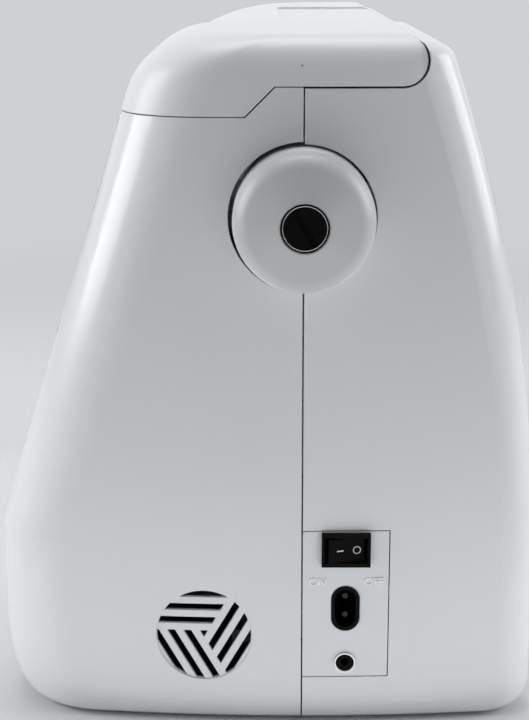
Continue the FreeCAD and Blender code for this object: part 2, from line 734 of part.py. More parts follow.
plate_sizes = {
    "plate_left": -202, "plate_right": -120, "plate_front": 42, "plate_rear": 27, "plate_thickness": 1.8,
    "plate_proud": 0.2, "plate_gap": 0.3,
    "plate_ledge": 4, "shutter_half": 25, "shutter_rear": 15, "shutter_gap": 0.3, "needle_slot": 3.4,
    "needle_slot_depth": 0.9,
    "drop_lever_x": 20, "drop_lever_height": 40, "drop_lever_travel": 10, "drop_lever_half": 5,
    "drop_stem_half": 1.5,
}
size.add(plate_sizes)
plate_top = bed_z + size.plate_proud
plate_low = plate_top - size.plate_thickness
bed_cover = cut(
    "bed_cover",
    join("bed_outer", bed_bar("bed_block", size.bed_left, size.throat_right - size.seam_gap, as_size(0)),
         box("free_arm", (size.arm_left, size.bed_left + size.wall), (arm_front_y, arm_rear_y),
             (foot_z + size.arm_bottom, bed_z))),
    bed_bar("bed_hollow", size.bed_left + size.wall, size.throat_right + size.wall, size.wall),
    box("bed_bottom", (size.bed_left + size.wall, size.throat_right + size.wall),
        (front_y + size.base_round_depth + size.tray_front_margin, bed_rear_y - size.wall),
        (0, foot_z + 2 * size.wall)),
    box("free_arm_hollow", (size.arm_left + size.wall, size.bed_left + 2 * size.wall),
        (arm_front_y + size.wall, arm_rear_y - size.wall), (0, bed_z - size.wall)),
    box("plate_pocket", (size.plate_left - size.plate_gap, size.plate_right + size.plate_gap),
        (split_y - size.plate_front - size.plate_gap, split_y + size.plate_rear + size.plate_gap),
        (plate_low, bed_z + size.wall)),
    box("plate_window", (size.plate_left + size.plate_ledge, size.plate_right - size.plate_ledge),
        (split_y - size.plate_front + size.plate_ledge, split_y + size.plate_rear - size.plate_ledge),
        (bed_z - 2 * size.wall, bed_z)),
    box("drop_slot", (size.drop_lever_x - size.drop_stem_half - size.seam_gap,
                      size.drop_lever_x + size.drop_lever_travel + size.drop_stem_half + size.seam_gap),
        (bed_rear_y - 2 * size.wall, bed_rear_y + size.wall),
        (size.drop_lever_height - size.drop_stem_half - size.seam_gap,
         size.drop_lever_height + size.drop_stem_half + size.seam_gap)))
piece("bed_cover", bed_cover)
drop_sizes = {"drop_knob_depth": 4.5, "drop_stem_length": 14, "drop_knob_half": 3.5}
size.add(drop_sizes)
piece("drop_feed_lever", join(
    "drop_feed_lever",
    box("drop_knob", (size.drop_lever_x - size.drop_lever_half, size.drop_lever_x + size.drop_lever_half),
        (bed_rear_y + size.seam_gap, bed_rear_y + size.seam_gap + size.drop_knob_depth),
        (size.drop_lever_height - size.drop_knob_half, size.drop_lever_height + size.drop_knob_half)),
    box("drop_stem", (size.drop_lever_x - size.drop_stem_half, size.drop_lever_x + size.drop_stem_half),
        (bed_rear_y - size.drop_stem_length, bed_rear_y + size.seam_gap + size.drop_knob_depth),
        (size.drop_lever_height - size.drop_stem_half, size.drop_lever_height + size.drop_stem_half))))

# Needle plate with its sliding bobbin cover and the feed dogs that rise through it
dog_sizes = {"dog_half": 1.2, "dog_pitch": 4.6, "dog_front": 3, "dog_rear": 19, "dog_gap": 0.5,
             "dog_drop": 0.3, "dog_height": 5, "dog_bar": 4}
size.add(dog_sizes)
plate_x = (size.plate_left, size.plate_right)
plate_y = (split_y - size.plate_front, split_y + size.plate_rear)
shutter_x = (size.needle_x - size.shutter_half, size.needle_x + size.shutter_half)
shutter_y = (split_y - size.plate_front, split_y - size.shutter_rear)
dog_runs = [size.needle_x + size.dog_pitch * step for step in (-1, 0, 1)]
dog_slots = [box(f"dog_slot_{number}", (run - size.dog_half - size.dog_gap,
                                        run + size.dog_half + size.dog_gap),
                 (split_y + size.dog_front - size.dog_gap, split_y + size.dog_rear + size.dog_gap),
                 (plate_low - size.wall, plate_top + size.wall)) for number, run in enumerate(dog_runs)]
piece("needle_plate", cut(
    "needle_plate", box("plate_blank", plate_x, plate_y, (plate_low, plate_top)),
    box("shutter_room", (shutter_x[0] - size.shutter_gap, shutter_x[1] + size.shutter_gap),
        (plate_y[0] - size.wall, shutter_y[1] + size.shutter_gap),
        (plate_low - size.wall, plate_top + size.wall)),
    box("needle_hole", (size.needle_x - size.needle_slot, size.needle_x + size.needle_slot),
        (split_y - size.needle_slot_depth, split_y + size.needle_slot_depth),
        (plate_low - size.wall, plate_top + size.wall)),
    *dog_slots))
piece("bobbin_cover", box("bobbin_cover", shutter_x, shutter_y, (plate_low, plate_top)))
dog_top = bed_z - size.dog_drop
dogs = [box(f"dog_{number}", (run - size.dog_half, run + size.dog_half),
            (split_y + size.dog_front, split_y + size.dog_rear),
            (dog_top - size.dog_height, dog_top)) for number, run in enumerate(dog_runs)]
piece("feed_dogs", join(
    "feed_dogs", *dogs,
    box("dog_carrier", (dog_runs[0] - 2 * size.dog_half, dog_runs[2] + 2 * size.dog_half),
        (split_y + size.dog_front, split_y + size.dog_rear),
        (dog_top - size.dog_height - size.dog_bar, dog_top - size.dog_height))))

# Accessory box around the free arm, with a flap over its storage space
box_sizes = {"box_gap": 0.7, "box_floor": 3, "flap_thickness": 2.4, "flap_gap": 0.5, "flap_pin": 0.8,
             "flap_pin_length": 1.5, "box_lip": 6}
size.add(box_sizes)
box_x = (head_x, size.bed_left - size.box_gap)
store_x = (box_x[0] + 3 * size.wall, box_x[1] - size.wall)
store_y = (front_y + size.base_round_depth, arm_front_y - size.box_gap - size.wall)
flap_y = (front_y + size.box_lip, store_y[1])
flap_z = (bed_z - size.flap_thickness, bed_z)
flap_axis = (flap_y[1] - size.flap_gap - size.flap_thickness / 2, bed_z - size.flap_thickness / 2)
flap_x = (store_x[0] - size.wall + size.flap_gap, store_x[1] - size.flap_gap)
pin_span = (flap_x[0] - size.flap_pin_length, flap_x[1] + size.flap_pin_length)
piece("accessory_box", cut(
    "accessory_box", bed_bar("box_block", box_x[0], box_x[1], as_size(0)),
    box("arm_slot", (size.arm_left - size.box_gap, box_x[1] + size.wall),
        (arm_front_y - size.box_gap, arm_rear_y + size.box_gap),
        (0, bed_z + size.wall)),
    box("store_room", store_x, store_y, (foot_z + size.box_floor, bed_z + size.wall)),
    box("flap_seat", (store_x[0] - size.wall, store_x[1]), flap_y,
        (flap_z[0] - size.flap_gap, bed_z + size.wall)),
    box("rear_room", store_x, (arm_rear_y + size.box_gap + size.wall, bed_rear_y - size.wall),
        (0, bed_z - size.wall)),
    rod("flap_bore", "x", pin_span, flap_axis, size.flap_pin + size.pin_fit)))
piece("accessory_flap", join(
    "accessory_flap", box("flap_sheet", flap_x, (flap_y[0] + size.flap_gap, flap_axis[0]), flap_z),
    rod("flap_roll", "x", flap_x, flap_axis, size.flap_thickness / 2),
    rod("flap_pins", "x", pin_span, flap_axis, size.flap_pin)))

# Bottom tray, its screws and the rubber feet
tray_sizes = {
    "screw_radius": 2.5, "screw_near": 40, "screw_middle": 110, "screw_bed": 30, "screw_arm": 70,
    "screw_front": 15, "screw_rear": 20,
    "foot_radius": 9, "foot_inset": 16, "foot_rear_inset": 40, "foot_bed_inset": 22, "frame_low": 14,
    "frame_thickness": 6,
}
size.add(tray_sizes)
tray_z = (foot_z, foot_z + size.tray_thickness)
column_tray_x = (size.throat_right + size.tray_gap, end_x - size.tray_end_margin - size.tray_gap)
tray_front = front_y + size.base_round_depth + size.tray_front_margin + size.tray_gap
screw_places = [(end_x - size.screw_near, split_y - size.screw_front),
                (end_x - size.screw_middle, split_y + size.screw_rear),
                (size.bed_left + size.screw_bed, split_y - size.screw_front),
                (size.bed_left - size.screw_arm, split_y + size.screw_rear)]
screw_holes = [rod(f"screw_hole_{number}", "z", (0, size.frame_low + size.frame_thickness), spot,
                   size.screw_radius)
               for number, spot in enumerate(screw_places)]
piece("base_tray", cut(
    "base_tray",
    join("tray_blank",
         box("tray_column", column_tray_x,
             (tray_front, back_y - size.base_rear_round - size.tray_margin - size.tray_gap), tray_z),
         box("tray_bed", (size.bed_left + size.wall + size.tray_gap, column_tray_x[1]),
             (tray_front, bed_rear_y - size.wall - size.tray_gap), tray_z),
         box("tray_arm", (size.arm_left + size.wall + size.tray_gap, size.bed_left + 2 * size.wall),
             (arm_front_y + size.wall + size.tray_gap, arm_rear_y - size.wall - size.tray_gap), tray_z)),
    *screw_holes))
piece("base_screws", join("base_screws", *[
    rod(f"base_screw_{number}", "z", (foot_z, size.frame_low + size.frame_thickness), spot,
        size.screw_radius)
    for number, spot in enumerate(screw_places)]))
foot_places = [(column_tray_x[1] - size.foot_inset, tray_front + size.foot_inset),
               (column_tray_x[1] - size.foot_inset, back_y - size.foot_rear_inset),
               (size.bed_left + size.foot_bed_inset, tray_front + size.foot_inset),
               (size.bed_left + size.foot_bed_inset, bed_rear_y - size.foot_bed_inset),
               (size.arm_left + size.foot_bed_inset, split_y)]
piece("rubber_feet", join("rubber_feet", *[
    rod(f"foot_{number}", "z", (0, foot_z), spot, size.foot_radius) for number,
    spot in enumerate(foot_places)]))

# Inlet panel at the wheel end, with the mains switch, the mains inlet and the pedal jack
inlet_sizes = {
    "switch_height": 81.5, "switch_width": 21, "switch_tall": 15, "switch_depth": 14, "switch_proud": 2.4,
    "switch_rim": 1, "rocker_half": 7.6, "rocker_room": 9.3,
    "rocker_tall": 10.6, "rocker_gap": 0.4, "rocker_pivot": 3, "rocker_high": 3.8, "rocker_mid": 1.4,
    "rocker_low": 0.6, "rocker_back": 4, "rocker_pin": 0.9, "rocker_pin_length": 0.9,
    "inlet_height": 54, "inlet_width": 12.3, "inlet_tall": 20.8, "inlet_depth": 22, "inlet_wall": 1.6,
    "inlet_proud": 0.4, "inlet_pocket": 15,
    "inlet_pin": 1.2, "inlet_pin_pitch": 8.6, "inlet_pin_length": 11, "socket_centre": 18.9,
    "jack_height": 28.7, "jack_radius": 4, "jack_bore": 1.8, "jack_depth": 18, "jack_ring": 4.6,
    "jack_ring_proud": 0.8, "jack_hole_depth": 15,
}
size.add(inlet_sizes)
panel_y = split_y + size.socket_centre
end_face = end_x - size.seam_gap / 2
switch_y = (panel_y - size.switch_width / 2, panel_y + size.switch_width / 2)
switch_z = (size.switch_height - size.switch_tall / 2, size.switch_height + size.switch_tall / 2)


def racetrack(name, span, width, tall):
    """An upright oval bar along X, centred on the mains inlet."""
    radius = width / 2
    half = tall / 2 - radius
    ends = [rod(f"{name}_{side}", "x", span, (panel_y, size.inlet_height + half * sign), radius)
            for side, sign in (("low", -1), ("top", 1))]
    middle = box(name + "_mid", span, (panel_y - radius, panel_y + radius),
                 (size.inlet_height - half, size.inlet_height + half))
    return join(name, middle, *ends)


inlet_x = (end_face - size.inlet_depth, end_face + size.inlet_proud)
piece("inlet_panel", cut(
    "inlet_panel",
    overlap("panel_blank", covers_shell, box("panel_block", (end_x - size.front_corner, end_x + reach),
                                             (split_y + half_gap, split_y + size.panel_width),
                                             (size.panel_low, size.panel_high))),
    box("switch_hole", (end_x - size.front_corner, end_x + reach),
        (switch_y[0] + size.switch_rim, switch_y[1] - size.switch_rim),
        (switch_z[0] + size.switch_rim, switch_z[1] - size.switch_rim)),
    racetrack("inlet_hole", (end_x - size.front_corner, end_x + reach), size.inlet_width,
              size.inlet_tall),
    rod("jack_hole", "x", (end_x - size.front_corner, end_x + reach), (panel_y, size.jack_height),
        size.jack_radius)))
switch_rim = end_x + size.switch_proud
rocker_axis = (end_x - size.rocker_pivot, panel_y)
piece("switch_bezel", cut(
    "switch_bezel",
    join("switch_body", box("switch_flange", (end_x, switch_rim), switch_y, switch_z),
         box("switch_case", (end_x - size.switch_depth, end_x), (switch_y[0] + 1, switch_y[1] - 1),
             (switch_z[0] + 1, switch_z[1] - 1))),
    box("rocker_pocket", (end_x - size.switch_depth + size.wall, end_x + reach),
        (panel_y - size.rocker_room, panel_y + size.rocker_room),
        (size.switch_height - size.rocker_tall / 2 - size.rocker_gap,
         size.switch_height + size.rocker_tall / 2 + size.rocker_gap)),
    rod("rocker_bore", "z", switch_z, rocker_axis, size.rocker_pin + size.pin_fit)))
rocker_z = (size.switch_height - size.rocker_tall / 2, size.switch_height + size.rocker_tall / 2)
rocker_pins = rod("rocker_pins", "z", grown(rocker_z, size.rocker_pin_length), rocker_axis,
                  size.rocker_pin)
piece("switch_rocker", join("switch_rocker", rocker_pins,
                            slab("rocker_block", "z", size.switch_height - size.rocker_tall / 2,
                                 size.rocker_tall, [
    (end_x - size.rocker_back, panel_y - size.rocker_half / 2),
    (end_x - size.rocker_pivot / 2, panel_y - size.rocker_half),
    (end_x + size.rocker_high, panel_y - size.rocker_half), (end_x + size.rocker_mid, panel_y),
    (end_x + size.rocker_low, panel_y + size.rocker_half),
    (end_x - size.rocker_pivot / 2, panel_y + size.rocker_half),
    (end_x - size.rocker_back, panel_y + size.rocker_half / 2)])))
piece("mains_inlet", cut(
    "mains_inlet", racetrack("inlet_body", inlet_x, size.inlet_width, size.inlet_tall),
    racetrack("inlet_pocket", (inlet_x[1] - size.inlet_pocket, inlet_x[1] + reach),
              size.inlet_width - 2 * size.inlet_wall,
              size.inlet_tall - 2 * size.inlet_wall)))
pin_x = (inlet_x[1] - size.inlet_pocket, inlet_x[1] - size.inlet_pocket + size.inlet_pin_length)
piece("inlet_pins", join("inlet_pins", *[
    rod(f"inlet_pin_{number}", "x", pin_x, (panel_y, size.inlet_height + sign * size.inlet_pin_pitch / 2),
        size.inlet_pin)
    for number, sign in enumerate((-1, 1))]))
piece("pedal_jack", turned("pedal_jack", "x", end_face - size.jack_depth, (panel_y, size.jack_height), [
    (0, 0), (size.jack_radius, 0), (size.jack_radius, size.jack_depth), (size.jack_bore, size.jack_depth),
    (size.jack_bore, size.jack_depth - size.jack_hole_depth),
    (0, size.jack_depth - size.jack_hole_depth)]))
piece("jack_ring", tube("jack_ring", "x", (end_x, end_x + size.jack_ring_proud),
                        (panel_y, size.jack_height), size.jack_ring, size.jack_radius))

# Handwheel with its clutch screw
wheel_sizes = {
    "wheel_skirt": 14, "wheel_edge": 16, "wheel_face": 25, "wheel_round": 11, "hub_radius": 9.9,
    "hub_rim": 0.5, "hub_depth": 3, "clutch_gap": 0.4,
    "clutch_head": 2.7, "clutch_slot": 2.2, "clutch_slot_depth": 1.2, "shaft_end": 18, "clutch_shank": 4,
    "clutch_slot_turn": 60,
}
size.add(wheel_sizes)
wheel_start = end_x - size.wheel_skirt
face_d = size.wheel_skirt + size.wheel_face
wheel = turned("handwheel", "x", wheel_start, (split_y, shaft_z), [
    (size.shaft_radius, 0), (size.wheel_radius, 0), (size.wheel_radius,
                                                     size.wheel_skirt + size.wheel_edge),
    (size.hub_radius + size.hub_rim, face_d), (size.hub_radius, face_d),
    (size.hub_radius, face_d - size.hub_depth),
    (size.shaft_radius, face_d - size.hub_depth)])
rim_place = size.wheel_skirt.value + size.wheel_edge.value
piece("handwheel",
      soften(wheel, size.wheel_round,
             lambda edge: len(edge.Vertexes) == 1 and abs(edge.CenterOfMass.z - rim_place) < 0.01
                          and abs(edge.Curve.Radius - size.wheel_radius.value) < 0.01))
shaft_tip = end_x + size.shaft_end
hub_floor = end_x + size.wheel_face - size.hub_depth
clutch_radius = size.hub_radius - size.clutch_gap
slot = box("clutch_slot", (hub_floor + size.clutch_head - size.clutch_slot_depth,
                           hub_floor + 2 * size.clutch_head),
           (0 - clutch_radius, clutch_radius), (0 - size.clutch_slot / 2, size.clutch_slot / 2))
turn = FreeCAD.Rotation(FreeCAD.Vector(1, 0, 0), -size.clutch_slot_turn.value)
half_slot = size.clutch_slot / 2
lean_sine, lean_cosine = sine(size.clutch_slot_turn), cosine(size.clutch_slot_turn)
place(slot, (hub_floor + size.clutch_head - size.clutch_slot_depth,
             split_y - clutch_radius * lean_cosine - half_slot * lean_sine,
             shaft_z + clutch_radius * lean_sine - half_slot * lean_cosine), turn)
piece("clutch_screw", cut(
    "clutch_screw",
    join("clutch_blank", rod("clutch_disc", "x", (hub_floor, hub_floor + size.clutch_head),
                             (split_y, shaft_z), clutch_radius),
         rod("clutch_stem", "x", (shaft_tip, hub_floor), (split_y, shaft_z), size.clutch_shank)),
    slot))

# Upper and lower shafts, pulleys, belts and motor
drive_sizes = {
    "crank_x": -155.5, "crank_web": 6, "crank_radius": 16, "crank_hub": 8, "crank_length": 12,
    "crank_throw": 13, "crank_pin": 2.5, "crank_pin_length": 1.3,
    "bush_outer": 9, "bush_length": 14, "shaft_fit": 0.03, "lower_height": 38, "lower_left": -175,
    "pulley_x": 150, "timing_radius": 15, "timing_width": 10, "drive_radius": 26, "drive_width": 10,
    "pulley_step": 6, "pulley_neck": 10,
    "belt_gap": 0.3, "belt_thickness": 1.8, "belt_margin": 1,
    "motor_radius": 30, "motor_left": 88, "motor_length": 72, "motor_back": 62, "motor_height": 70,
    "motor_shaft": 3, "motor_gap": 0.3, "motor_pulley": 7,
}
size.add(drive_sizes)
main_axis = (split_y, shaft_z)
lower_axis = (split_y, size.lower_height)
motor_axis = (split_y + size.motor_back, size.motor_height)
drive_x = (size.pulley_x + size.timing_width + size.pulley_step,
           size.pulley_x + size.timing_width + size.pulley_step + size.drive_width)
timing_x = (size.pulley_x, size.pulley_x + size.timing_width)
piece("main_shaft", rod("main_shaft", "x", (size.crank_x + size.crank_web, shaft_tip), main_axis,
                        size.shaft_radius))
piece("lower_shaft", rod("lower_shaft", "x", (size.lower_left, timing_x[1]), lower_axis,
                         size.shaft_radius))
piece("drive_pulley", turned("drive_pulley", "x", timing_x[0], main_axis, [
    (size.shaft_radius, 0), (size.timing_radius, 0), (size.timing_radius, size.timing_width),
    (size.pulley_neck, size.timing_width),
    (size.pulley_neck, size.timing_width + size.pulley_step),
    (size.drive_radius, size.timing_width + size.pulley_step),
    (size.drive_radius, drive_x[1] - timing_x[0]), (size.shaft_radius, drive_x[1] - timing_x[0])]))
piece("lower_pulley", tube("lower_pulley", "x", timing_x, lower_axis, size.timing_radius,
                           size.shaft_radius))
motor_x = (size.motor_left, size.motor_left + size.motor_length)
piece("motor", rod("motor", "x", motor_x, motor_axis, size.motor_radius))
piece("motor_pulley", join(
    "motor_pulley", rod("motor_drum", "x", drive_x, motor_axis, size.motor_pulley),
    rod("motor_stub", "x", (motor_x[1] + size.motor_gap, drive_x[0]), motor_axis, size.motor_shaft)))


def loop_face(first, first_radius, second, second_radius):
    """The flat shape inside a band stretched round two wheels, drawn in the YZ plane."""
    start, finish = FreeCAD.Vector(0, *first), FreeCAD.Vector(0, *second)
    line_of_centres = finish - start
    bearing = math.atan2(line_of_centres.z, line_of_centres.y)
    spread = math.acos((first_radius - second_radius) / line_of_centres.Length)
    at = lambda centre, radius, angle: centre + FreeCAD.Vector(0, radius * math.cos(angle),
                                                               radius * math.sin(angle))
    upper, lower = bearing + spread, bearing - spread
    edges = [Part.makeLine(at(start, first_radius, upper), at(finish, second_radius, upper)),
             Part.Arc(at(finish, second_radius, upper), at(finish, second_radius, bearing),
                      at(finish, second_radius, lower)).toShape(),
             Part.makeLine(at(finish, second_radius, lower), at(start, first_radius, lower)),
             Part.Arc(at(start, first_radius, lower), at(start, first_radius, bearing + math.pi),
                      at(start, first_radius, upper)).toShape()]
    return Part.Face(Part.Wire(edges))


def belt(name, span, first, first_radius, second, second_radius):
    ends = ([value.value for value in first], [value.value for value in second])
    near = size.belt_gap.value
    far = near + size.belt_thickness.value
    faces = [loop_face(ends[0], first_radius.value + grow, ends[1],
                       second_radius.value + grow) for grow in (near, far)]
    left, width = (span[0] + size.belt_margin).value, (span[1] - span[0] - 2 * size.belt_margin).value
    band = [face.extrude(FreeCAD.Vector(width, 0, 0)) for face in faces]
    feature = solid(name, band[1].cut(band[0]))
    place(feature, (left, 0, 0))
    return feature


piece("motor_belt", belt("motor_belt", drive_x, main_axis, size.drive_radius, motor_axis,
                         size.motor_pulley))
piece("timing_belt", belt("timing_belt", timing_x, main_axis, size.timing_radius, lower_axis,
                          size.timing_radius))
bush_sizes = {"bush_head": -130, "bush_arm": 20, "bush_column": 130, "bush_bed": -120, "bush_base": 100}
size.add(bush_sizes)
bush_seats = [(size.bush_head, main_axis), (size.bush_arm, main_axis), (size.bush_column, main_axis),
              (size.bush_bed, lower_axis), (size.bush_base, lower_axis)]
bush_span = lambda x: (x - size.bush_length / 2, x + size.bush_length / 2)
piece("shaft_bushes", join("shaft_bushes", *[
    tube(f"bush_{number}", "x", bush_span(x), seat, size.bush_outer, size.shaft_radius + size.shaft_fit)
    for number, (x, seat) in enumerate(bush_seats)]))

# Needle drive: crank, rod, needle bar, clamp and needle
needle_sizes = {
    "bar_radius": 3.4, "bar_low": 132, "bar_high": 252, "block_low": 186, "block_height": 12,
    "block_side": 6, "block_reach": 5.2,
    "rod_thickness": 2.6, "rod_half": 4.5, "clamp_radius": 5, "clamp_low": 124, "clamp_high": 136,
    "needle_shank": 1, "needle_blade": 0.45,
    "needle_shank_low": 122, "needle_tip": 100, "needle_point": 4,
}
size.add(needle_sizes)
needle_axis = (size.needle_x, split_y)
piece("crank", join(
    "crank",
    turned("crank_disc", "x", size.crank_x, main_axis, [
        (0, 0), (size.crank_radius, 0), (size.crank_radius, size.crank_web),
        (size.crank_hub, size.crank_web),
        (size.crank_hub, size.crank_length), (size.shaft_radius, size.crank_length),
        (size.shaft_radius, size.crank_web), (0, size.crank_web)]),
    rod("crank_stud", "x", (size.crank_x - size.crank_pin_length, size.crank_x),
        (split_y, shaft_z + size.crank_throw), size.crank_pin)))
bar_hole = rod("needle_bar_hole", "z", (0, size.top_height), needle_axis, size.bar_radius)
block_x = (size.needle_x - size.block_side, size.needle_x + size.block_reach)
rod_x = (block_x[1], block_x[1] + size.rod_thickness)
block_z = (size.block_low, size.block_low + size.block_height)
rod_low = size.block_low + size.block_height / 2
rod_high = shaft_z + size.crank_throw
piece("connecting_rod", cut(
    "connecting_rod",
    join("rod_blank", box("rod_block", block_x, (split_y - size.block_side, split_y + size.block_side),
                          block_z),
         box("rod_plate", rod_x, (split_y - size.rod_half, split_y + size.rod_half), (rod_low, rod_high)),
         rod("rod_eye", "x", rod_x, (split_y, rod_high), size.rod_half)),
    bar_hole))
piece("needle_bar", rod("needle_bar", "z", (size.bar_low, size.bar_high), needle_axis, size.bar_radius))
piece("needle_clamp", cut(
    "needle_clamp", rod("clamp_body", "z", (size.clamp_low, size.clamp_high), needle_axis,
                        size.clamp_radius),
    rod("clamp_socket", "z", (size.bar_low, size.clamp_high), needle_axis, size.bar_radius),
    rod("clamp_hole", "z", (size.clamp_low, size.bar_low), needle_axis, size.needle_shank)))
piece("needle", turned("needle", "z", size.needle_tip, needle_axis, [
    (0, 0), (size.needle_blade, size.needle_point), (size.needle_blade,
                                                     size.needle_shank_low - size.needle_tip),
    (size.needle_shank, size.needle_shank_low - size.needle_tip),
    (size.needle_shank, size.bar_low - size.needle_tip),
    (0, size.bar_low - size.needle_tip)]))

# Hook, its drive gear, the bobbin case and the bobbin
hook_sizes = {
    "hook_back": 21.4, "gear_radius": 14, "gear_half": 6, "gear_teeth": 22, "tooth_depth": 1.4,
    "hook_gear": 7, "hook_teeth": 11, "hook_gear_low": 32,
    "hook_gear_high": 44, "hook_foot": 22, "hook_stem": 4, "hook_low": 55, "hook_floor": 4,
    "hook_high": 77, "hook_radius": 20, "hook_inner": 16.5,
    "case_gap": 0.4, "case_radius": 16, "case_inner": 12.2, "case_floor": 2, "case_high": 76,
    "finger_root": 1, "finger_half": 3, "finger_low": 77.6, "finger_reach": 30,
    "finger_step": 27, "finger_lift": 79.8, "bobbin_radius": 10.2, "bobbin_flange": 1, "bobbin_hub": 4.5,
    "bobbin_bore": 3, "bobbin_height": 11.6,
}
size.add(hook_sizes)
hook_axis = (size.needle_x, split_y - size.hook_back)


def gear(name, axis, span, across, radius, teeth, bore):
    """A spur wheel cut from a disc; tooth tips reach the given radius."""
    count = int(teeth.value)
    steps = []
    for tooth in range(count):
        for part, drop in ((0, 1), (0.3, 0), (0.55, 0), (0.85, 1)):
            angle = 2 * math.pi * (tooth + part) / count
            length = radius.value - drop * size.tooth_depth.value
            steps.append(FreeCAD.Vector(length * math.cos(angle), length * math.sin(angle), 0))
    face = Part.Face(Part.makePolygon(steps + steps[:1]))
    deep = (span[1] - span[0]).value
    wheel_shape = face.extrude(FreeCAD.Vector(0, 0, deep)).cut(Part.makeCylinder(bore.value, deep))
    feature = solid(name, wheel_shape)
    place(feature, axis_point(axis, span[0], across), AXES[axis])
    return feature


piece("hook_drive_gear", gear("hook_drive_gear", "x", (size.needle_x - size.gear_half,
                                                       size.needle_x + size.gear_half), lower_axis,
                              size.gear_radius, size.gear_teeth, size.shaft_radius))
piece("hook", join(
    "hook",
    turned("hook_cup", "z", size.hook_foot, hook_axis, [
        (0, 0), (size.hook_stem, 0), (size.hook_stem, size.hook_low - size.hook_foot),
        (size.hook_radius, size.hook_low - size.hook_foot),
        (size.hook_radius, size.hook_high - size.hook_foot),
        (size.hook_inner, size.hook_high - size.hook_foot),
        (size.hook_inner, size.hook_low + size.hook_floor - size.hook_foot),
        (0, size.hook_low + size.hook_floor - size.hook_foot)]),
    gear("hook_pinion", "z", (size.hook_gear_low, size.hook_gear_high), hook_axis, size.hook_gear,
         size.hook_teeth, size.hook_stem)))
case_low = size.hook_low + size.hook_floor + size.case_gap
finger_y = (hook_axis[1] - size.finger_half, hook_axis[1] + size.finger_half)
finger_x = size.needle_x + size.case_inner + size.shutter_gap
piece("bobbin_case", join(
    "bobbin_case",
    turned("case_cup", "z", case_low, hook_axis, [
        (0, 0), (size.case_radius, 0), (size.case_radius, size.case_high - case_low),
        (size.case_inner, size.case_high - case_low),
        (size.case_inner, size.case_floor), (0, size.case_floor)]),
    box("finger_riser", (finger_x, size.needle_x + size.case_radius - size.shutter_gap), finger_y,
        (size.case_high - size.finger_root, size.finger_lift)),
    box("finger_bar", (finger_x, size.needle_x + size.finger_reach), finger_y,
        (size.finger_low, size.finger_lift)),
    box("finger_stop", (size.needle_x + size.finger_step, size.needle_x + size.finger_reach), finger_y,
        (size.finger_low, plate_low))))
bobbin_low = case_low + size.case_floor + size.case_gap
piece("bobbin", turned("bobbin", "z", bobbin_low, hook_axis, [
    (size.bobbin_bore, 0), (size.bobbin_radius, 0), (size.bobbin_radius, size.bobbin_flange),
    (size.bobbin_hub, size.bobbin_flange),
    (size.bobbin_hub, size.bobbin_height - size.bobbin_flange),
    (size.bobbin_radius, size.bobbin_height - size.bobbin_flange),
    (size.bobbin_radius, size.bobbin_height), (size.bobbin_bore, size.bobbin_height)]))

# Take-up lever, presser bar, presser foot and lifter
presser_sizes = {
    "lever_thickness": 2, "lever_pivot_front": 30, "lever_pivot_height": 230, "lever_pin": 3,
    "lever_reach": 46, "lever_rise": 17, "lever_half": 4,
    "lever_hub": 7, "lever_eye": 1.5, "lever_tip": 5,
    "presser_back": 16, "presser_radius": 3.2, "presser_low": 100, "presser_high": 246, "holder_half": 5,
    "holder_low": 91, "holder_high": 108,
    "holder_front": 5, "holder_rear": 5.5, "toe_half": 3.8, "toe_front": 5.4, "toe_low": 85.4,
    "toe_high": 91.5,
    "sole_half": 9, "sole_front": 14, "sole_rear": 9, "sole_low": 82.6, "sole_high": 85, "sole_slot": 2.6,
    "sole_slot_rear": 3, "sole_toe": 1.5, "sole_slot_front": 4,
    "ear_inner": 4.2, "ear_outer": 7, "ear_front": 5, "ear_high": 89.2, "foot_pin": 1, "foot_pin_back": 7,
    "foot_pin_height": 87.2,
    "lifter_back": 38, "lifter_height": 164, "lifter_pin": 2.5, "lifter_hub": 7, "lifter_near": 7.4,
    "lifter_thickness": 4.6, "lifter_run": 16, "lifter_fall": 38,
    "lifter_half": 4,
}
size.add(presser_sizes)
lever_x = (size.take_up_x - size.lever_thickness / 2, size.take_up_x + size.lever_thickness / 2)
lever_axis = (split_y - size.lever_pivot_front, size.lever_pivot_height)
lever_end = (lever_axis[0] - size.lever_reach, lever_axis[1] + size.lever_rise)
piece("take_up_lever", cut(
    "take_up_lever",
    join("lever_blank",
         slab("lever_arm", "x", lever_x[0], size.lever_thickness, [
             (lever_axis[0], lever_axis[1] - size.lever_half),
             (lever_axis[0], lever_axis[1] + size.lever_half),
             (lever_end[0], lever_end[1] + size.lever_half / 2),
             (lever_end[0], lever_end[1] - size.lever_half / 2)]),
         rod("lever_hub", "x", lever_x, lever_axis, size.lever_hub),
         rod("lever_tip", "x", lever_x, lever_end, size.lever_tip)),
    rod("lever_bore", "x", lever_x, lever_axis, size.lever_pin + size.pin_fit),
    rod("lever_eye", "x", lever_x, lever_end, size.lever_eye)))
presser_axis = (size.needle_x, split_y + size.presser_back)
foot_axis = (split_y + size.foot_pin_back, size.foot_pin_height)
across_head = lambda half: (size.needle_x - half, size.needle_x + half)
piece("presser_bar", cut(
    "presser_bar",
    join("presser_blank", rod("presser_rod", "z", (size.presser_low, size.presser_high), presser_axis,
                              size.presser_radius),
         box("foot_holder", across_head(size.holder_half),
             (presser_axis[1] - size.holder_front, presser_axis[1] + size.holder_rear),
             (size.holder_low, size.holder_high)),
         box("holder_toe", across_head(size.toe_half), (split_y + size.toe_front, presser_axis[1]),
             (size.toe_low, size.toe_high))),
    rod("toe_bore", "x", across_head(size.ear_outer), foot_axis, size.foot_pin + size.pin_fit)))
ear_y = (split_y + size.ear_front, split_y + size.sole_rear)
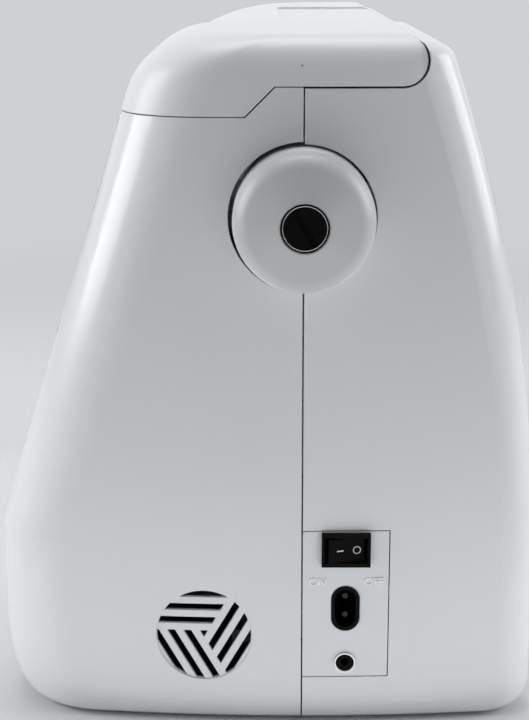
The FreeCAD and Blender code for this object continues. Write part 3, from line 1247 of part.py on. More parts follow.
piece("presser_foot", cut(
    "presser_foot",
    join("foot_blank", box("foot_sole", across_head(size.sole_half),
                           (split_y - size.sole_front, split_y + size.sole_rear),
                           (size.sole_low, size.sole_high)),
         box("foot_ear_left", (size.needle_x - size.ear_outer, size.needle_x - size.ear_inner), ear_y,
             (size.sole_high, size.ear_high)),
         box("foot_ear_right", (size.needle_x + size.ear_inner, size.needle_x + size.ear_outer), ear_y,
             (size.sole_high, size.ear_high)),
         rod("foot_cross_pin", "x", across_head(size.ear_outer), foot_axis, size.foot_pin)),
    box("sole_slot", across_head(size.sole_slot), (split_y - size.sole_slot_front,
                                                   split_y + size.sole_slot_rear),
                                                   (size.sole_low, size.sole_high)),
    box("sole_toes", across_head(size.sole_toe), (split_y - size.sole_front, split_y),
        (size.sole_low, size.sole_high))))
lifter_axis = (split_y + size.lifter_back, size.lifter_height)
lifter_x = (size.needle_x + size.lifter_near, size.needle_x + size.lifter_near + size.lifter_thickness)
lifter_end = (lifter_axis[0] + size.lifter_run, lifter_axis[1] - size.lifter_fall)
piece("presser_lifter", cut(
    "presser_lifter",
    join("lifter_blank",
         slab("lifter_arm", "x", lifter_x[0], size.lifter_thickness, [
             (lifter_axis[0] - size.lifter_half, lifter_axis[1]),
             (lifter_axis[0] + size.lifter_half, lifter_axis[1]),
             (lifter_end[0] + size.lifter_half, lifter_end[1]),
             (lifter_end[0] - size.lifter_half, lifter_end[1])]),
         rod("lifter_hub", "x", lifter_x, lifter_axis, size.lifter_hub),
         rod("lifter_tip", "x", lifter_x, lifter_end, size.lifter_half)),
    rod("lifter_bore", "x", lifter_x, lifter_axis, size.lifter_pin + size.pin_fit)))

# Cast frame that carries the shafts, bars and levers
frame_sizes = {
    "frame_left": -190, "frame_right": 145, "frame_back": 24, "spine_thickness": 5, "spine_low": 203,
    "spine_high": 250, "column_left": 95,
    "bed_frame_front": 32, "seat_front": 12, "seat_half": 12, "guide_low": 148, "guide_high": 155,
    "guide_top": 246, "guide_left": 9, "guide_right": 9,
    "guide_front": 8, "bracket_left": -178, "bracket_right": -174, "bracket_half": 6, "bracket_front": 36,
    "lever_pin_left": -184,
    "lug_rear": 43, "lug_left": 2, "lug_half": 6, "lifter_pin_end": 15, "hook_boss": 8, "boss_high": 31.5,
    "boss_gap": 0.5,
    "motor_mount_left": 100, "motor_mount_right": 140, "motor_mount_half": 18, "board_front": 60,
    "board_thickness": 1.6, "board_left": 88, "board_right": 176,
    "board_low": 100, "board_high": 200, "board_arm": 120, "board_arm_width": 6, "board_arm_low": 120,
    "board_arm_high": 180, "deck_height": 256,
}
size.add(frame_sizes)
spine_y = (split_y + size.frame_back, split_y + size.frame_back + size.spine_thickness)
frame_z = (size.frame_low, size.frame_low + size.frame_thickness)
board_y = (split_y - size.board_front, split_y - size.board_front + size.board_thickness)
frame_bars = [
    box("frame_spine", (size.frame_left, size.frame_right), spine_y, (size.spine_low, size.spine_high)),
    box("frame_column", (size.column_left, size.frame_right), spine_y, (size.frame_low, size.spine_high)),
    box("frame_bed", (size.frame_left, size.frame_right), (split_y - size.bed_frame_front, spine_y[1]),
        frame_z),
    box("frame_head", (size.needle_x - size.guide_left, size.needle_x + size.guide_right), spine_y,
        (size.guide_low, size.spine_high)),
    box("lower_guide", (size.needle_x - size.guide_left, size.needle_x + size.guide_right),
        (split_y - size.guide_front, spine_y[1]),
        (size.guide_low, size.guide_high)),
    box("upper_guide", (size.needle_x - size.guide_left, size.needle_x + size.bar_radius + 1),
        (split_y - size.guide_front, spine_y[1]),
        (size.guide_top, size.spine_high)),
    box("lever_bracket", (size.bracket_left, size.bracket_right),
        (split_y - size.bracket_front, spine_y[0]),
        (size.lever_pivot_height - size.bracket_half, size.lever_pivot_height + size.bracket_half)),
    rod("lever_stud", "x", (size.lever_pin_left, size.bracket_right), lever_axis, size.lever_pin),
    box("lifter_lug", (size.needle_x + size.lug_left, size.needle_x + size.lifter_near - size.belt_gap),
        (split_y + size.frame_back, split_y + size.lug_rear),
        (size.lifter_height - size.lug_half, size.lifter_height + size.lug_half)),
    rod("lifter_stud", "x", (size.needle_x + size.lug_left, size.needle_x + size.lifter_pin_end),
        lifter_axis, size.lifter_pin),
    rod("hook_boss", "z", (frame_z[1], size.boss_high), hook_axis, size.hook_boss),
    box("motor_mount", (size.motor_mount_left, size.motor_mount_right), (spine_y[0], motor_axis[0]),
        (size.motor_height - size.motor_mount_half, size.motor_height + size.motor_mount_half)),
]
for number, (x, seat) in enumerate(bush_seats[:3]):
    frame_bars.append(box(f"upper_seat_{number}", bush_span(x), (split_y - size.seat_front, spine_y[1]),
                          (shaft_z - size.seat_half, shaft_z + size.seat_half)))
for number, (x, seat) in enumerate(bush_seats[3:]):
    frame_bars.append(box(f"lower_seat_{number}", bush_span(x),
                          (split_y - size.seat_front, split_y + size.seat_front),
                          (size.frame_low, size.lower_height + size.seat_half)))
for number, low in enumerate((size.board_arm_low, size.board_arm_high)):
    frame_bars.append(box(f"board_arm_{number}", (size.board_arm, size.board_arm + size.board_arm_width),
                          (board_y[1], spine_y[0]),
                          (low, low + size.board_arm_width)))
for number, x in enumerate((size.bush_head, size.bush_arm, size.bush_column)):
    frame_bars.append(box(f"deck_post_{number}", bush_span(x), spine_y,
                          (size.spine_high, size.deck_height)))
frame_holes = [rod(f"seat_bore_{number}", "x", bush_span(x), seat, size.bush_outer) for number,
               (x, seat) in enumerate(bush_seats)]
frame_holes += [
    rod("needle_guide", "z", (size.guide_low, size.spine_high), needle_axis,
        size.bar_radius + size.pin_fit),
    rod("presser_guide", "z", (size.guide_low, size.spine_high), presser_axis,
        size.presser_radius + size.pin_fit),
    rod("hook_bearing", "z", (size.hook_foot - size.boss_gap, size.boss_high), hook_axis,
        size.hook_stem + size.pin_fit),
    rod("motor_cradle", "x", motor_x, motor_axis, size.motor_radius), *screw_holes]
piece("frame", cut("frame", join("frame_blank", *frame_bars), *frame_holes))
piece("main_board", box("main_board", (size.board_left, size.board_right), board_y,
                        (size.board_low, size.board_high)))

# Controls on the slanted front
control_sizes = {
    "button_deep": 5, "button_proud": 1.6, "slider_half": 6, "slider_stem": 3, "slider_stem_half": 1.4,
    "slider_proud": 3.4, "slider_deep": 5, "slider_lift": 0.3,
    "fascia_flange": 3, "flange_gap": 0.05, "flange_thickness": 2, "display_left": 86,
    "display_right": 148, "display_bottom": 112, "display_top": 160,
    "display_gap": 0.2, "display_sink": 0.4, "display_deep": 8, "display_border": 4, "key_left": 100,
    "key_right": 134, "key_climb": 88, "key_half": 7, "key_tall": 5,
    "key_gap": 0.35, "key_deep": 6, "key_proud": 1.2, "dial_axle": 3, "dial_axle_length": 6,
}
size.add(control_sizes)
for name, run, radius in zip(("start_button", "reverse_button", "needle_button"), button_runs,
                             button_radii):
    piece(name, front_rod(name, run, size.button_climb, (0 - size.button_deep, size.button_proud),
                          radius))
slider_run = (size.slider_low + size.slider_high) / 2
piece("speed_slider", join(
    "speed_slider",
    front_plate("slider_knob", (slider_run - size.slider_half, slider_run + size.slider_half),
                (size.slider_climb - size.slider_half, size.slider_climb + size.slider_half),
                (size.slider_lift, size.slider_proud)),
    front_plate("slider_stem", (slider_run - size.slider_stem, slider_run + size.slider_stem),
                (size.slider_climb - size.slider_stem_half, size.slider_climb + size.slider_stem_half),
                (0 - size.slider_deep, size.slider_proud))))
fascia_run = (size.panel_left + size.fascia_gap, size.panel_right - size.fascia_gap)
fascia_climb = (size.panel_bottom + size.fascia_gap, size.panel_top - size.fascia_gap)
back_rise = 0 - size.wall - size.flange_gap - size.flange_thickness
key_runs = (size.key_left, size.key_right)
key_climbs = (size.key_climb - size.key_tall, size.key_climb + size.key_tall)
display_run = (size.display_left, size.display_right)
display_climb = (size.display_bottom, size.display_top)
key_rooms = [front_plate(f"key_room_{number}", grown((run - size.key_half, run + size.key_half),
                                                     size.key_gap),
                         grown(key_climbs, size.key_gap), (2 * back_rise, size.wall)) for number,
                         run in enumerate(key_runs)]
piece("fascia", cut(
    "fascia",
    join("fascia_blank", front_plate("fascia_front", fascia_run, fascia_climb, (back_rise, 0)),
         front_plate("fascia_flange", grown((size.panel_left, size.panel_right), size.fascia_flange),
                     grown((size.panel_bottom, size.panel_top), size.fascia_flange),
                     (back_rise, 0 - size.wall - size.flange_gap))),
    front_plate("display_window", display_run, display_climb, (2 * back_rise, size.wall)), *key_rooms))
piece("display", join(
    "display",
    front_plate("display_glass", grown(display_run, 0 - size.display_gap),
                grown(display_climb, 0 - size.display_gap),
                (back_rise, 0 - size.display_sink)),
    front_plate("display_back", grown(display_run, size.display_border),
                grown(display_climb, size.display_border),
                (0 - size.display_deep, back_rise))))
for name, run in zip(("key_minus", "key_plus"), key_runs):
    piece(name, front_plate(name, (run - size.key_half, run + size.key_half), key_climbs,
                            (0 - size.key_deep, size.key_proud)))
dial_centre = on_front(size.dial_x, size.dial_climb, size.dial_proud - size.dial_radius)
dial_span = (size.dial_x - size.dial_width / 2, size.dial_x + size.dial_width / 2)
piece("tension_dial", join(
    "tension_dial", rod("dial_wheel", "x", dial_span, dial_centre[1:], size.dial_radius),
    rod("dial_axle", "x", grown(dial_span, size.dial_axle_length), dial_centre[1:], size.dial_axle)))

# Deck under the lid with the spool pin, the winder and the lid's hinge posts
deck_sizes = {
    "deck_gap": 0.4, "deck_thickness": 2, "post_half": 2.5, "post_rise": 4, "spool_left": -40,
    "spool_right": 60, "spool_front": 30, "spool_height": 275, "spool_radius": 3,
    "spool_post": 8, "spool_post_half": 5, "spool_post_rise": 6, "spool_root": 2.2, "spool_clear": 0.6,
    "deck_slot": 60, "winder_x": 130, "winder_front": 35, "winder_gap": 0.4, "winder_disc": 9,
    "winder_disc_height": 2.6,
    "winder_pin": 2.8, "winder_high": 286,
}
size.add(deck_sizes)
deck_z = (size.deck_height, size.deck_height + size.deck_thickness)
deck_inset = size.wall + size.deck_gap
spool_axis = (split_y - size.spool_front, size.spool_height)
deck_plan = Part.Face(arm_outline(deck_z[1].value, deck_inset.value, deck_inset.value))
deck_form = deck_plan.extrude(FreeCAD.Vector(0, 0, -size.deck_thickness.value))
deck_blank = cut("deck_blank", solid("deck_form", deck_form), rear_step("deck_step", deck_inset))
spool_post_x = (size.spool_right - size.spool_post, size.spool_right)
deck_parts = [deck_blank, box("spool_post", spool_post_x,
                              (spool_axis[0] - size.spool_post_half,
                               spool_axis[0] + size.spool_post_half),
                              (deck_z[0], size.spool_height + size.spool_post_rise))]
for number, span in enumerate(post_spans):
    deck_parts.append(box(f"hinge_post_{number}", span, (lid_axis_y - size.post_half,
                                                         lid_axis_y + size.post_half),
                                                         (deck_z[0], lid_axis_z + size.post_rise)))
for number in (0, 1):
    deck_parts.append(rod(f"hinge_pin_{number}", "x", (post_spans[2 * number][0],
                                                       post_spans[2 * number + 1][1]),
                                                       (lid_axis_y, lid_axis_z), size.hinge_pin))
deck_slot = box("deck_slot", (size.take_up_x - size.take_up_slot / 2,
                              size.take_up_x + size.take_up_slot / 2),
                (front_y, split_y - size.deck_slot), grown(deck_z, size.deck_thickness))
piece("top_deck", cut("top_deck", join("deck_whole", *deck_parts),
                      rod("spool_bore", "x", spool_post_x, spool_axis, size.spool_root),
                      wheel_room, deck_slot))
piece("spool_pin", join(
    "spool_pin", rod("spool_stem", "x", (size.spool_left, spool_post_x[0] - size.spool_clear), spool_axis,
                     size.spool_radius),
    rod("spool_root", "x", (spool_post_x[0] - size.spool_clear, size.spool_right), spool_axis,
        size.spool_root)))
winder_low = deck_z[1] + size.winder_gap
winder_axis = (size.winder_x, split_y - size.winder_front)
piece("winder_spindle", turned("winder_spindle", "z", winder_low, winder_axis, [
    (0, 0), (size.winder_disc, 0), (size.winder_disc, size.winder_disc_height),
    (size.winder_pin, size.winder_disc_height),
    (size.winder_pin, size.winder_high - winder_low), (0, size.winder_high - winder_low)]))

# Carry handle that folds down into the step behind the arm
grip_sizes = {"handle_grip": 12, "handle_top": 3.25}
size.add(grip_sizes)
lean = FreeCAD.Rotation(FreeCAD.Vector(1, 0, 0), size.handle_lean.value)


def leaning_box(name, x, height):
    """A bar of the folded handle: along X, and up its own slope from the hinge."""
    block = doc.addObject("Part::Box", name)
    bind(block, Length=x[1] - x[0], Width=size.handle_depth, Height=height[1] - height[0])
    near = 0 - size.handle_depth / 2
    y = handle_y + near * cosine(size.handle_lean) - height[0] * sine(size.handle_lean)
    z = size.handle_height + near * sine(size.handle_lean) + height[0] * cosine(size.handle_lean)
    place(block, (x[0], y, z), lean)
    block.setExpression("Placement.Rotation.Angle", size.handle_lean.text)
    return block


drop = 0 - size.handle_drop
stub_radius = size.handle_pin - size.pin_fit
piece("carry_handle", join(
    "carry_handle",
    leaning_box("handle_arm_left", (size.handle_left, size.handle_left + size.handle_arm),
                (drop, size.handle_top)),
    leaning_box("handle_arm_right", (size.handle_right - size.handle_arm, size.handle_right),
                (drop, size.handle_top)),
    leaning_box("handle_bar", (size.handle_left, size.handle_right), (drop, drop + size.handle_grip)),
    rod("handle_stub_left", "x", (size.handle_left - size.handle_clear - size.handle_lug,
                                  size.handle_left + size.handle_arm / 2),
        (handle_y, size.handle_height), stub_radius),
    rod("handle_stub_right", "x", (size.handle_right - size.handle_arm / 2,
                                   size.handle_right + size.handle_clear + size.handle_lug),
        (handle_y, size.handle_height), stub_radius)))

doc.recompute()
for thing in doc.Objects:
    if "Invalid" in thing.State or "Error" in thing.State:
        raise SystemExit(f"{thing.Label} failed: {thing.State}")
for thing in pieces:
    if thing.Shape.isNull() or not thing.Shape.isValid():
        raise SystemExit(f"{thing.Label} has no valid shape")
os.makedirs("parts", exist_ok=True)
for thing in pieces:
    thing.Shape.exportStep(f"parts/{thing.Label}.step")
print(len(pieces), "pieces")
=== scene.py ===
import bpy
import math
from mathutils import Matrix, Vector


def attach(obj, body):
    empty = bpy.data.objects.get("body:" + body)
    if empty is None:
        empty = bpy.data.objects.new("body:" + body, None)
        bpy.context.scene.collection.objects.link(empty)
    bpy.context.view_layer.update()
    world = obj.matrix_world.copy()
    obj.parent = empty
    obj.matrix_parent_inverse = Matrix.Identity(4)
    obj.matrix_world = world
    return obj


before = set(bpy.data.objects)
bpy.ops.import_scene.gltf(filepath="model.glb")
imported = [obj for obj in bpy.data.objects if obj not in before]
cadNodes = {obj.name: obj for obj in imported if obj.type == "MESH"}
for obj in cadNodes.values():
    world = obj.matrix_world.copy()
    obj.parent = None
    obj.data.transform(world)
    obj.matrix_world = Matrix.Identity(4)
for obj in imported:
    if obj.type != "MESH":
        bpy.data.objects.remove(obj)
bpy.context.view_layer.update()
scene = bpy.context.scene
bpy.ops.object.select_all(action="DESELECT")
print("frame loaded:", len(cadNodes), "nodes")


# surface effects shared by several materials

def newGroup(name, inputs, outputs):
    group = bpy.data.node_groups.new(name, "ShaderNodeTree")
    for label, kind, value in inputs:
        socket = group.interface.new_socket(label, in_out="INPUT", socket_type=kind)
        socket.default_value = value
    for label, kind in outputs:
        group.interface.new_socket(label, in_out="OUTPUT", socket_type=kind)
    start = group.nodes.new("NodeGroupInput")
    end = group.nodes.new("NodeGroupOutput")
    return group, start, end


def addNode(tree, kind, **values):
    node = tree.nodes.new(kind)
    for name, value in values.items():
        if hasattr(node, name):
            setattr(node, name, value)
        else:
            node.inputs[name.replace("_", " ")].default_value = value
    return node


def moulding():
    # injection moulded plastic: slow tone drift, fine peel and faint handling marks
    group, start, end = newGroup("moulding", [
        ("Colour", "NodeSocketColor", (0.8, 0.8, 0.8, 1)), ("Shade", "NodeSocketColor", (0.7, 0.7, 0.7, 1)),
        ("Drift", "NodeSocketFloat", 7.0), ("Peel", "NodeSocketFloat", 420.0),
        ("Gloss", "NodeSocketFloat", 0.2), ("Spread", "NodeSocketFloat", 0.08)], [
        ("Colour", "NodeSocketColor"), ("Roughness", "NodeSocketFloat"), ("Height", "NodeSocketFloat")])
    place = addNode(group, "ShaderNodeTexCoord")
    drift = addNode(group, "ShaderNodeTexNoise", Detail=3.0, Roughness=0.55)
    peel = addNode(group, "ShaderNodeTexNoise", Detail=2.0, Roughness=0.5)
    marks = addNode(group, "ShaderNodeTexNoise", Scale=90.0, Detail=6.0, Roughness=0.7)
    ramp = addNode(group, "ShaderNodeMapRange", From_Min=0.35, From_Max=0.7)
    mix = addNode(group, "ShaderNodeMix", data_type="RGBA")
    rough = addNode(group, "ShaderNodeMath", operation="MULTIPLY_ADD")
    link = group.links.new
    for texture in (drift, peel, marks):
        link(place.outputs["Object"], texture.inputs["Vector"])
    link(start.outputs["Drift"], drift.inputs["Scale"])
    link(start.outputs["Peel"], peel.inputs["Scale"])
    link(drift.outputs["Fac"], ramp.inputs["Value"])
    link(ramp.outputs["Result"], mix.inputs["Factor"])
    link(start.outputs["Colour"], mix.inputs["A"])
    link(start.outputs["Shade"], mix.inputs["B"])
    link(mix.outputs["Result"], end.inputs["Colour"])
    link(marks.outputs["Fac"], rough.inputs[0])
    link(start.outputs["Spread"], rough.inputs[1])
    link(start.outputs["Gloss"], rough.inputs[2])
    link(rough.outputs["Value"], end.inputs["Roughness"])
    link(peel.outputs["Fac"], end.inputs["Height"])
    return group


def machining():
    # metal with fine tool lines along one direction and slight tarnish
    group, start, end = newGroup("machining", [
        ("Colour", "NodeSocketColor", (0.6, 0.6, 0.6, 1)), ("Tarnish", "NodeSocketColor", (0.4, 0.4, 0.4, 1)),
        ("Stretch", "NodeSocketVector", (40.0, 900.0, 900.0)), ("Gloss", "NodeSocketFloat", 0.25),
        ("Spread", "NodeSocketFloat", 0.2)], [
        ("Colour", "NodeSocketColor"), ("Roughness", "NodeSocketFloat"), ("Height", "NodeSocketFloat")])
    place = addNode(group, "ShaderNodeTexCoord")
    scale = addNode(group, "ShaderNodeVectorMath", operation="MULTIPLY")
    lines = addNode(group, "ShaderNodeTexNoise", Scale=1.0, Detail=4.0, Roughness=0.6)
    stain = addNode(group, "ShaderNodeTexNoise", Scale=35.0, Detail=5.0, Roughness=0.65)
    mask = addNode(group, "ShaderNodeMapRange", From_Min=0.45, From_Max=0.75)
    mix = addNode(group, "ShaderNodeMix", data_type="RGBA")
    rough = addNode(group, "ShaderNodeMath", operation="MULTIPLY_ADD")
    link = group.links.new
    link(place.outputs["Object"], scale.inputs[0])
    link(start.outputs["Stretch"], scale.inputs[1])
    link(scale.outputs["Vector"], lines.inputs["Vector"])
    link(place.outputs["Object"], stain.inputs["Vector"])
    link(stain.outputs["Fac"], mask.inputs["Value"])
    link(mask.outputs["Result"], mix.inputs["Factor"])
    link(start.outputs["Colour"], mix.inputs["A"])
    link(start.outputs["Tarnish"], mix.inputs["B"])
    link(mix.outputs["Result"], end.inputs["Colour"])
    link(lines.outputs["Fac"], rough.inputs[0])
    link(start.outputs["Spread"], rough.inputs[1])
    link(start.outputs["Gloss"], rough.inputs[2])
    link(rough.outputs["Value"], end.inputs["Roughness"])
    link(lines.outputs["Fac"], end.inputs["Height"])
    return group


mouldingGroup = moulding()
machiningGroup = machining()


def surfaceMaterial(name, group, values, bump, edge, **shader):
    material = bpy.data.materials.new(name)
    material.use_nodes = True
    tree = material.node_tree
    bsdf = tree.nodes["Principled BSDF"]
    effect = tree.nodes.new("ShaderNodeGroup")
    effect.node_tree = group
    for label, value in values.items():
        effect.inputs[label].default_value = value
    relief = addNode(tree, "ShaderNodeBump", Strength=bump[0], Distance=bump[1])
    if edge:
        rounding = tree.nodes.new("ShaderNodeBevel")  # softened moulded edges
        rounding.samples = 6
        rounding.inputs["Radius"].default_value = edge
        tree.links.new(rounding.outputs["Normal"], relief.inputs["Normal"])
    tree.links.new(effect.outputs["Colour"], bsdf.inputs["Base Color"])
    tree.links.new(effect.outputs["Roughness"], bsdf.inputs["Roughness"])
    tree.links.new(effect.outputs["Height"], relief.inputs["Height"])
    tree.links.new(relief.outputs["Normal"], bsdf.inputs["Normal"])
    for label, value in shader.items():
        bsdf.inputs[label.replace("_", " ")].default_value = value
    return material


finishes = {
    "shellWhite": ((0.79, 0.805, 0.82, 1), (0.76, 0.775, 0.795, 1), 0.16, 0.1),
    "lidWhite": ((0.78, 0.79, 0.80, 1), (0.75, 0.76, 0.775, 1), 0.3, 0.1),
    # the handwheel's white is darker than the shell's white as painted shade on its face; a sheen lobe
    # brightens its rim
    "wheelPaintedShadeWhite": ((0.50, 0.505, 0.51, 1), (0.475, 0.48, 0.49, 1), 0.3, 0.1),
    "deckWhite": ((0.70, 0.71, 0.72, 1), (0.66, 0.67, 0.69, 1), 0.38, 0.15),
    "fasciaGrey": ((0.60, 0.615, 0.64, 1), (0.56, 0.575, 0.60, 1), 0.36, 0.12),
    "keyWhite": ((0.74, 0.75, 0.77, 1), (0.70, 0.715, 0.74, 1), 0.3, 0.12),
    "satinBlack": ((0.005, 0.005, 0.0055, 1), (0.008, 0.008, 0.0085, 1), 0.32, 0.2),
    "glossBlack": ((0.005, 0.005, 0.0055, 1), (0.007, 0.007, 0.0075, 1), 0.2, 0.12),
    "trayGrey": ((0.16, 0.165, 0.17, 1), (0.13, 0.135, 0.14, 1), 0.5, 0.15),
    "footRubber": ((0.025, 0.025, 0.026, 1), (0.04, 0.04, 0.04, 1), 0.62, 0.2),
    "beltRubber": ((0.018, 0.018, 0.019, 1), (0.03, 0.03, 0.03, 1), 0.55, 0.2),
    "boardGreen": ((0.02, 0.12, 0.055, 1), (0.03, 0.16, 0.07, 1), 0.35, 0.2),
    "printWhite": ((0.75, 0.76, 0.76, 1), (0.68, 0.69, 0.69, 1), 0.45, 0.2),
    "printGrey": ((0.16, 0.17, 0.19, 1), (0.2, 0.21, 0.23, 1), 0.45, 0.2),
    # the raised ON and OFF letters are coloured brighter than the panel's white: painted highlight on their
    # raised faces
    "letterHighlightWhite": ((0.90, 0.91, 0.92, 1), (0.86, 0.87, 0.885, 1), 0.3, 0.1),
}
plasticBump = (0.05, 0.0004)  # strength and depth in metres
metalBump = (0.08, 0.0002)
edgeRadius = 0.0006
softEdges = ("shellWhite", "lidWhite", "wheelPaintedShadeWhite", "deckWhite", "keyWhite", "fasciaGrey")
extras = {"wheelPaintedShadeWhite": {"Sheen_Weight": 1.0, "Sheen_Roughness": 0.4},
          "satinBlack": {"IOR": 1.1}, "glossBlack": {"IOR": 1.1}}
metals = {
    "chromePlate": ((0.62, 0.62, 0.63, 1), (0.5, 0.5, 0.51, 1), 0.05, 0.1, (60, 60, 60)),
    "groundSteel": ((0.58, 0.59, 0.60, 1), (0.44, 0.45, 0.46, 1), 0.2, 0.22, (900, 60, 900)),
    "turnedSteel": ((0.60, 0.61, 0.62, 1), (0.48, 0.48, 0.5, 1), 0.16, 0.2, (120, 120, 1400)),
    "castAlloy": ((0.50, 0.51, 0.52, 1), (0.38, 0.39, 0.4, 1), 0.45, 0.25, (300, 300, 300)),
    "bushBronze": ((0.55, 0.38, 0.17, 1), (0.40, 0.27, 0.12, 1), 0.3, 0.2, (300, 300, 300)),
    # the inlet pins' steel is darkened far below its own colour: painted shade of the inlet's recess
    "pinSteelPaintedShade": ((0.035, 0.035, 0.038, 1), (0.025, 0.025, 0.027, 1), 0.3, 0.1, (300, 300, 300)),
    "motorPaint": ((0.07, 0.072, 0.078, 1), (0.05, 0.05, 0.055, 1), 0.4, 0.2, (200, 200, 200)),
}
paint = {}
for name, (colour, shade, gloss, spread) in finishes.items():
    paint[name] = surfaceMaterial(
        name, mouldingGroup, {"Colour": colour, "Shade": shade, "Gloss": gloss, "Spread": spread},
        plasticBump, edgeRadius if name in softEdges else 0.0, **extras.get(name, {}))
for name, (colour, tarnish, gloss, spread, stretch) in metals.items():
    paint[name] = surfaceMaterial(
        name, machiningGroup,
        {"Colour": colour, "Tarnish": tarnish, "Gloss": gloss, "Spread": spread, "Stretch": stretch},
        metalBump, 0.0, Metallic=0.0 if name == "motorPaint" else 1.0)


clearPlastic = {"Colour": (0.93, 0.95, 0.96, 1), "Shade": (0.88, 0.91, 0.93, 1), "Gloss": 0.04,
                "Spread": 0.05}


def clearMaterial():
    material = bpy.data.materials.new("clearMoulding")
    material.use_nodes = True
    tree = material.node_tree
    bsdf = tree.nodes["Principled BSDF"]
    effect = tree.nodes.new("ShaderNodeGroup")
    effect.node_tree = mouldingGroup
    for label, value in clearPlastic.items():
        effect.inputs[label].default_value = value
    tree.links.new(effect.outputs["Colour"], bsdf.inputs["Base Color"])
    tree.links.new(effect.outputs["Roughness"], bsdf.inputs["Roughness"])
    bsdf.inputs["Transmission Weight"].default_value = 0.9
    bsdf.inputs["IOR"].default_value = 1.49
    return material


screen = {"tilt": -72.5, "dots": 900.0, "light": (0.30, 0.36, 0.31, 1), "dark": (0.28, 0.34, 0.29, 1),
          "gaps": (0.24, 0.29, 0.25, 1), "roughness": 0.12}


def screenMaterial():
    # grey-green liquid crystal glass with a faint dot grid
    material = bpy.data.materials.new("screenGlass")
    material.use_nodes = True
    tree = material.node_tree
    bsdf = tree.nodes["Principled BSDF"]
    place = tree.nodes.new("ShaderNodeTexCoord")
    grid = addNode(tree, "ShaderNodeTexBrick", Scale=screen["dots"], offset=0.0, Color1=screen["light"],
                   Color2=screen["dark"], Mortar=screen["gaps"], Mortar_Size=0.06, Brick_Width=0.5,
                   Row_Height=0.5)
    turn = addNode(tree, "ShaderNodeMapping", Rotation=(math.radians(screen["tilt"]), 0, 0))
    tree.links.new(place.outputs["Object"], turn.inputs["Vector"])
    tree.links.new(turn.outputs["Vector"], grid.inputs["Vector"])
    tree.links.new(grid.outputs["Color"], bsdf.inputs["Base Color"])
    bsdf.inputs["Roughness"].default_value = screen["roughness"]
    return material


paint["clearMoulding"] = clearMaterial()
paint["screenGlass"] = screenMaterial()

dressing = {
    "shellWhite": ["front_cover", "rear_cover", "face_cover", "bed_cover", "inlet_panel", "accessory_box",
                   "accessory_flap"],
    "lidWhite": ["top_lid"],
    "wheelPaintedShadeWhite": ["handwheel"],
    "deckWhite": ["top_deck", "spool_pin", "winder_spindle"],
    "keyWhite": ["start_button", "reverse_button", "needle_button", "key_minus", "key_plus", "speed_slider",
                 "presser_lifter", "drop_feed_lever", "tension_dial", "carry_handle"],
    "fasciaGrey": ["fascia"],
    "satinBlack": ["switch_bezel", "mains_inlet", "pedal_jack", "clutch_screw", "bobbin_case",
                   "hook_drive_gear"],
    "glossBlack": ["switch_rocker"],
    "trayGrey": ["base_tray"],
    "footRubber": ["rubber_feet"],
    "beltRubber": ["motor_belt", "timing_belt"],
    "boardGreen": ["main_board"],
    "chromePlate": ["jack_ring"],
    "pinSteelPaintedShade": ["inlet_pins"],
    "groundSteel": ["needle_plate", "feed_dogs", "presser_foot", "take_up_lever", "connecting_rod", "crank",
                    "hook"],
    "turnedSteel": ["needle", "needle_bar", "needle_clamp", "presser_bar", "main_shaft", "lower_shaft",
                    "base_screws"],
    "castAlloy": ["frame", "drive_pulley", "lower_pulley", "motor_pulley"],
    "bushBronze": ["shaft_bushes"],
    "motorPaint": ["motor"],
    "clearMoulding": ["bobbin", "bobbin_cover"],
    "screenGlass": ["display"],
}
for finish, names in dressing.items():
    for name in names:
        slots = cadNodes[name].data.materials
        slots.clear()
        slots.append(paint[finish])
print("materials set:", len(paint))


# small pieces

def mm(*values):
    return tuple(value / 1000 for value in values)


def finishPiece(piece, name, material, body, smooth=30):
    bpy.ops.object.mode_set(mode="OBJECT")
    bpy.ops.object.select_all(action="DESELECT")
    piece.select_set(True)
    bpy.context.view_layer.objects.active = piece
    bpy.ops.object.transform_apply(location=True, rotation=True, scale=True)
    bpy.ops.object.shade_smooth_by_angle(angle=math.radians(smooth))
    piece.name = name
    piece.data.name = name
    piece.data.materials.clear()
    piece.data.materials.append(paint[material])
    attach(piece, body)
    piece.select_set(False)


def standOn(piece, origin, normal, up):
    # own Z to the normal, own Y towards up
    outward = Vector(normal).normalized()
    across = Vector(up).cross(outward).normalized()
    upright = outward.cross(across)
    turn = Matrix((across, upright, outward)).transposed().to_4x4()
    piece.matrix_world = Matrix.Translation(Vector(origin)) @ turn
    bpy.context.view_layer.update()


letterForm = {"capShare": 0.7, "edgeShare": 0.35}  # capital height of the type size, eased edge of the depth


def lettering(words, height, depth, origin, normal, up, name, material, body):
    bpy.ops.object.select_all(action="DESELECT")
    bpy.ops.object.text_add(location=(0, 0, 0))
    text = bpy.context.object
    text.data.body = words
    text.data.align_x = "CENTER"
    text.data.align_y = "CENTER"
    text.data.size = height / letterForm["capShare"]
    text.data.extrude = depth
    text.data.bevel_depth = depth * letterForm["edgeShare"]
    text.data.bevel_resolution = 1
    text.data.resolution_u = 4
    bpy.ops.object.convert(target="MESH")
    text = bpy.context.object
    standOn(text, origin, normal, up)
    finishPiece(text, name, material, body)


easedShare = 0.3  # of a mark's smaller measure


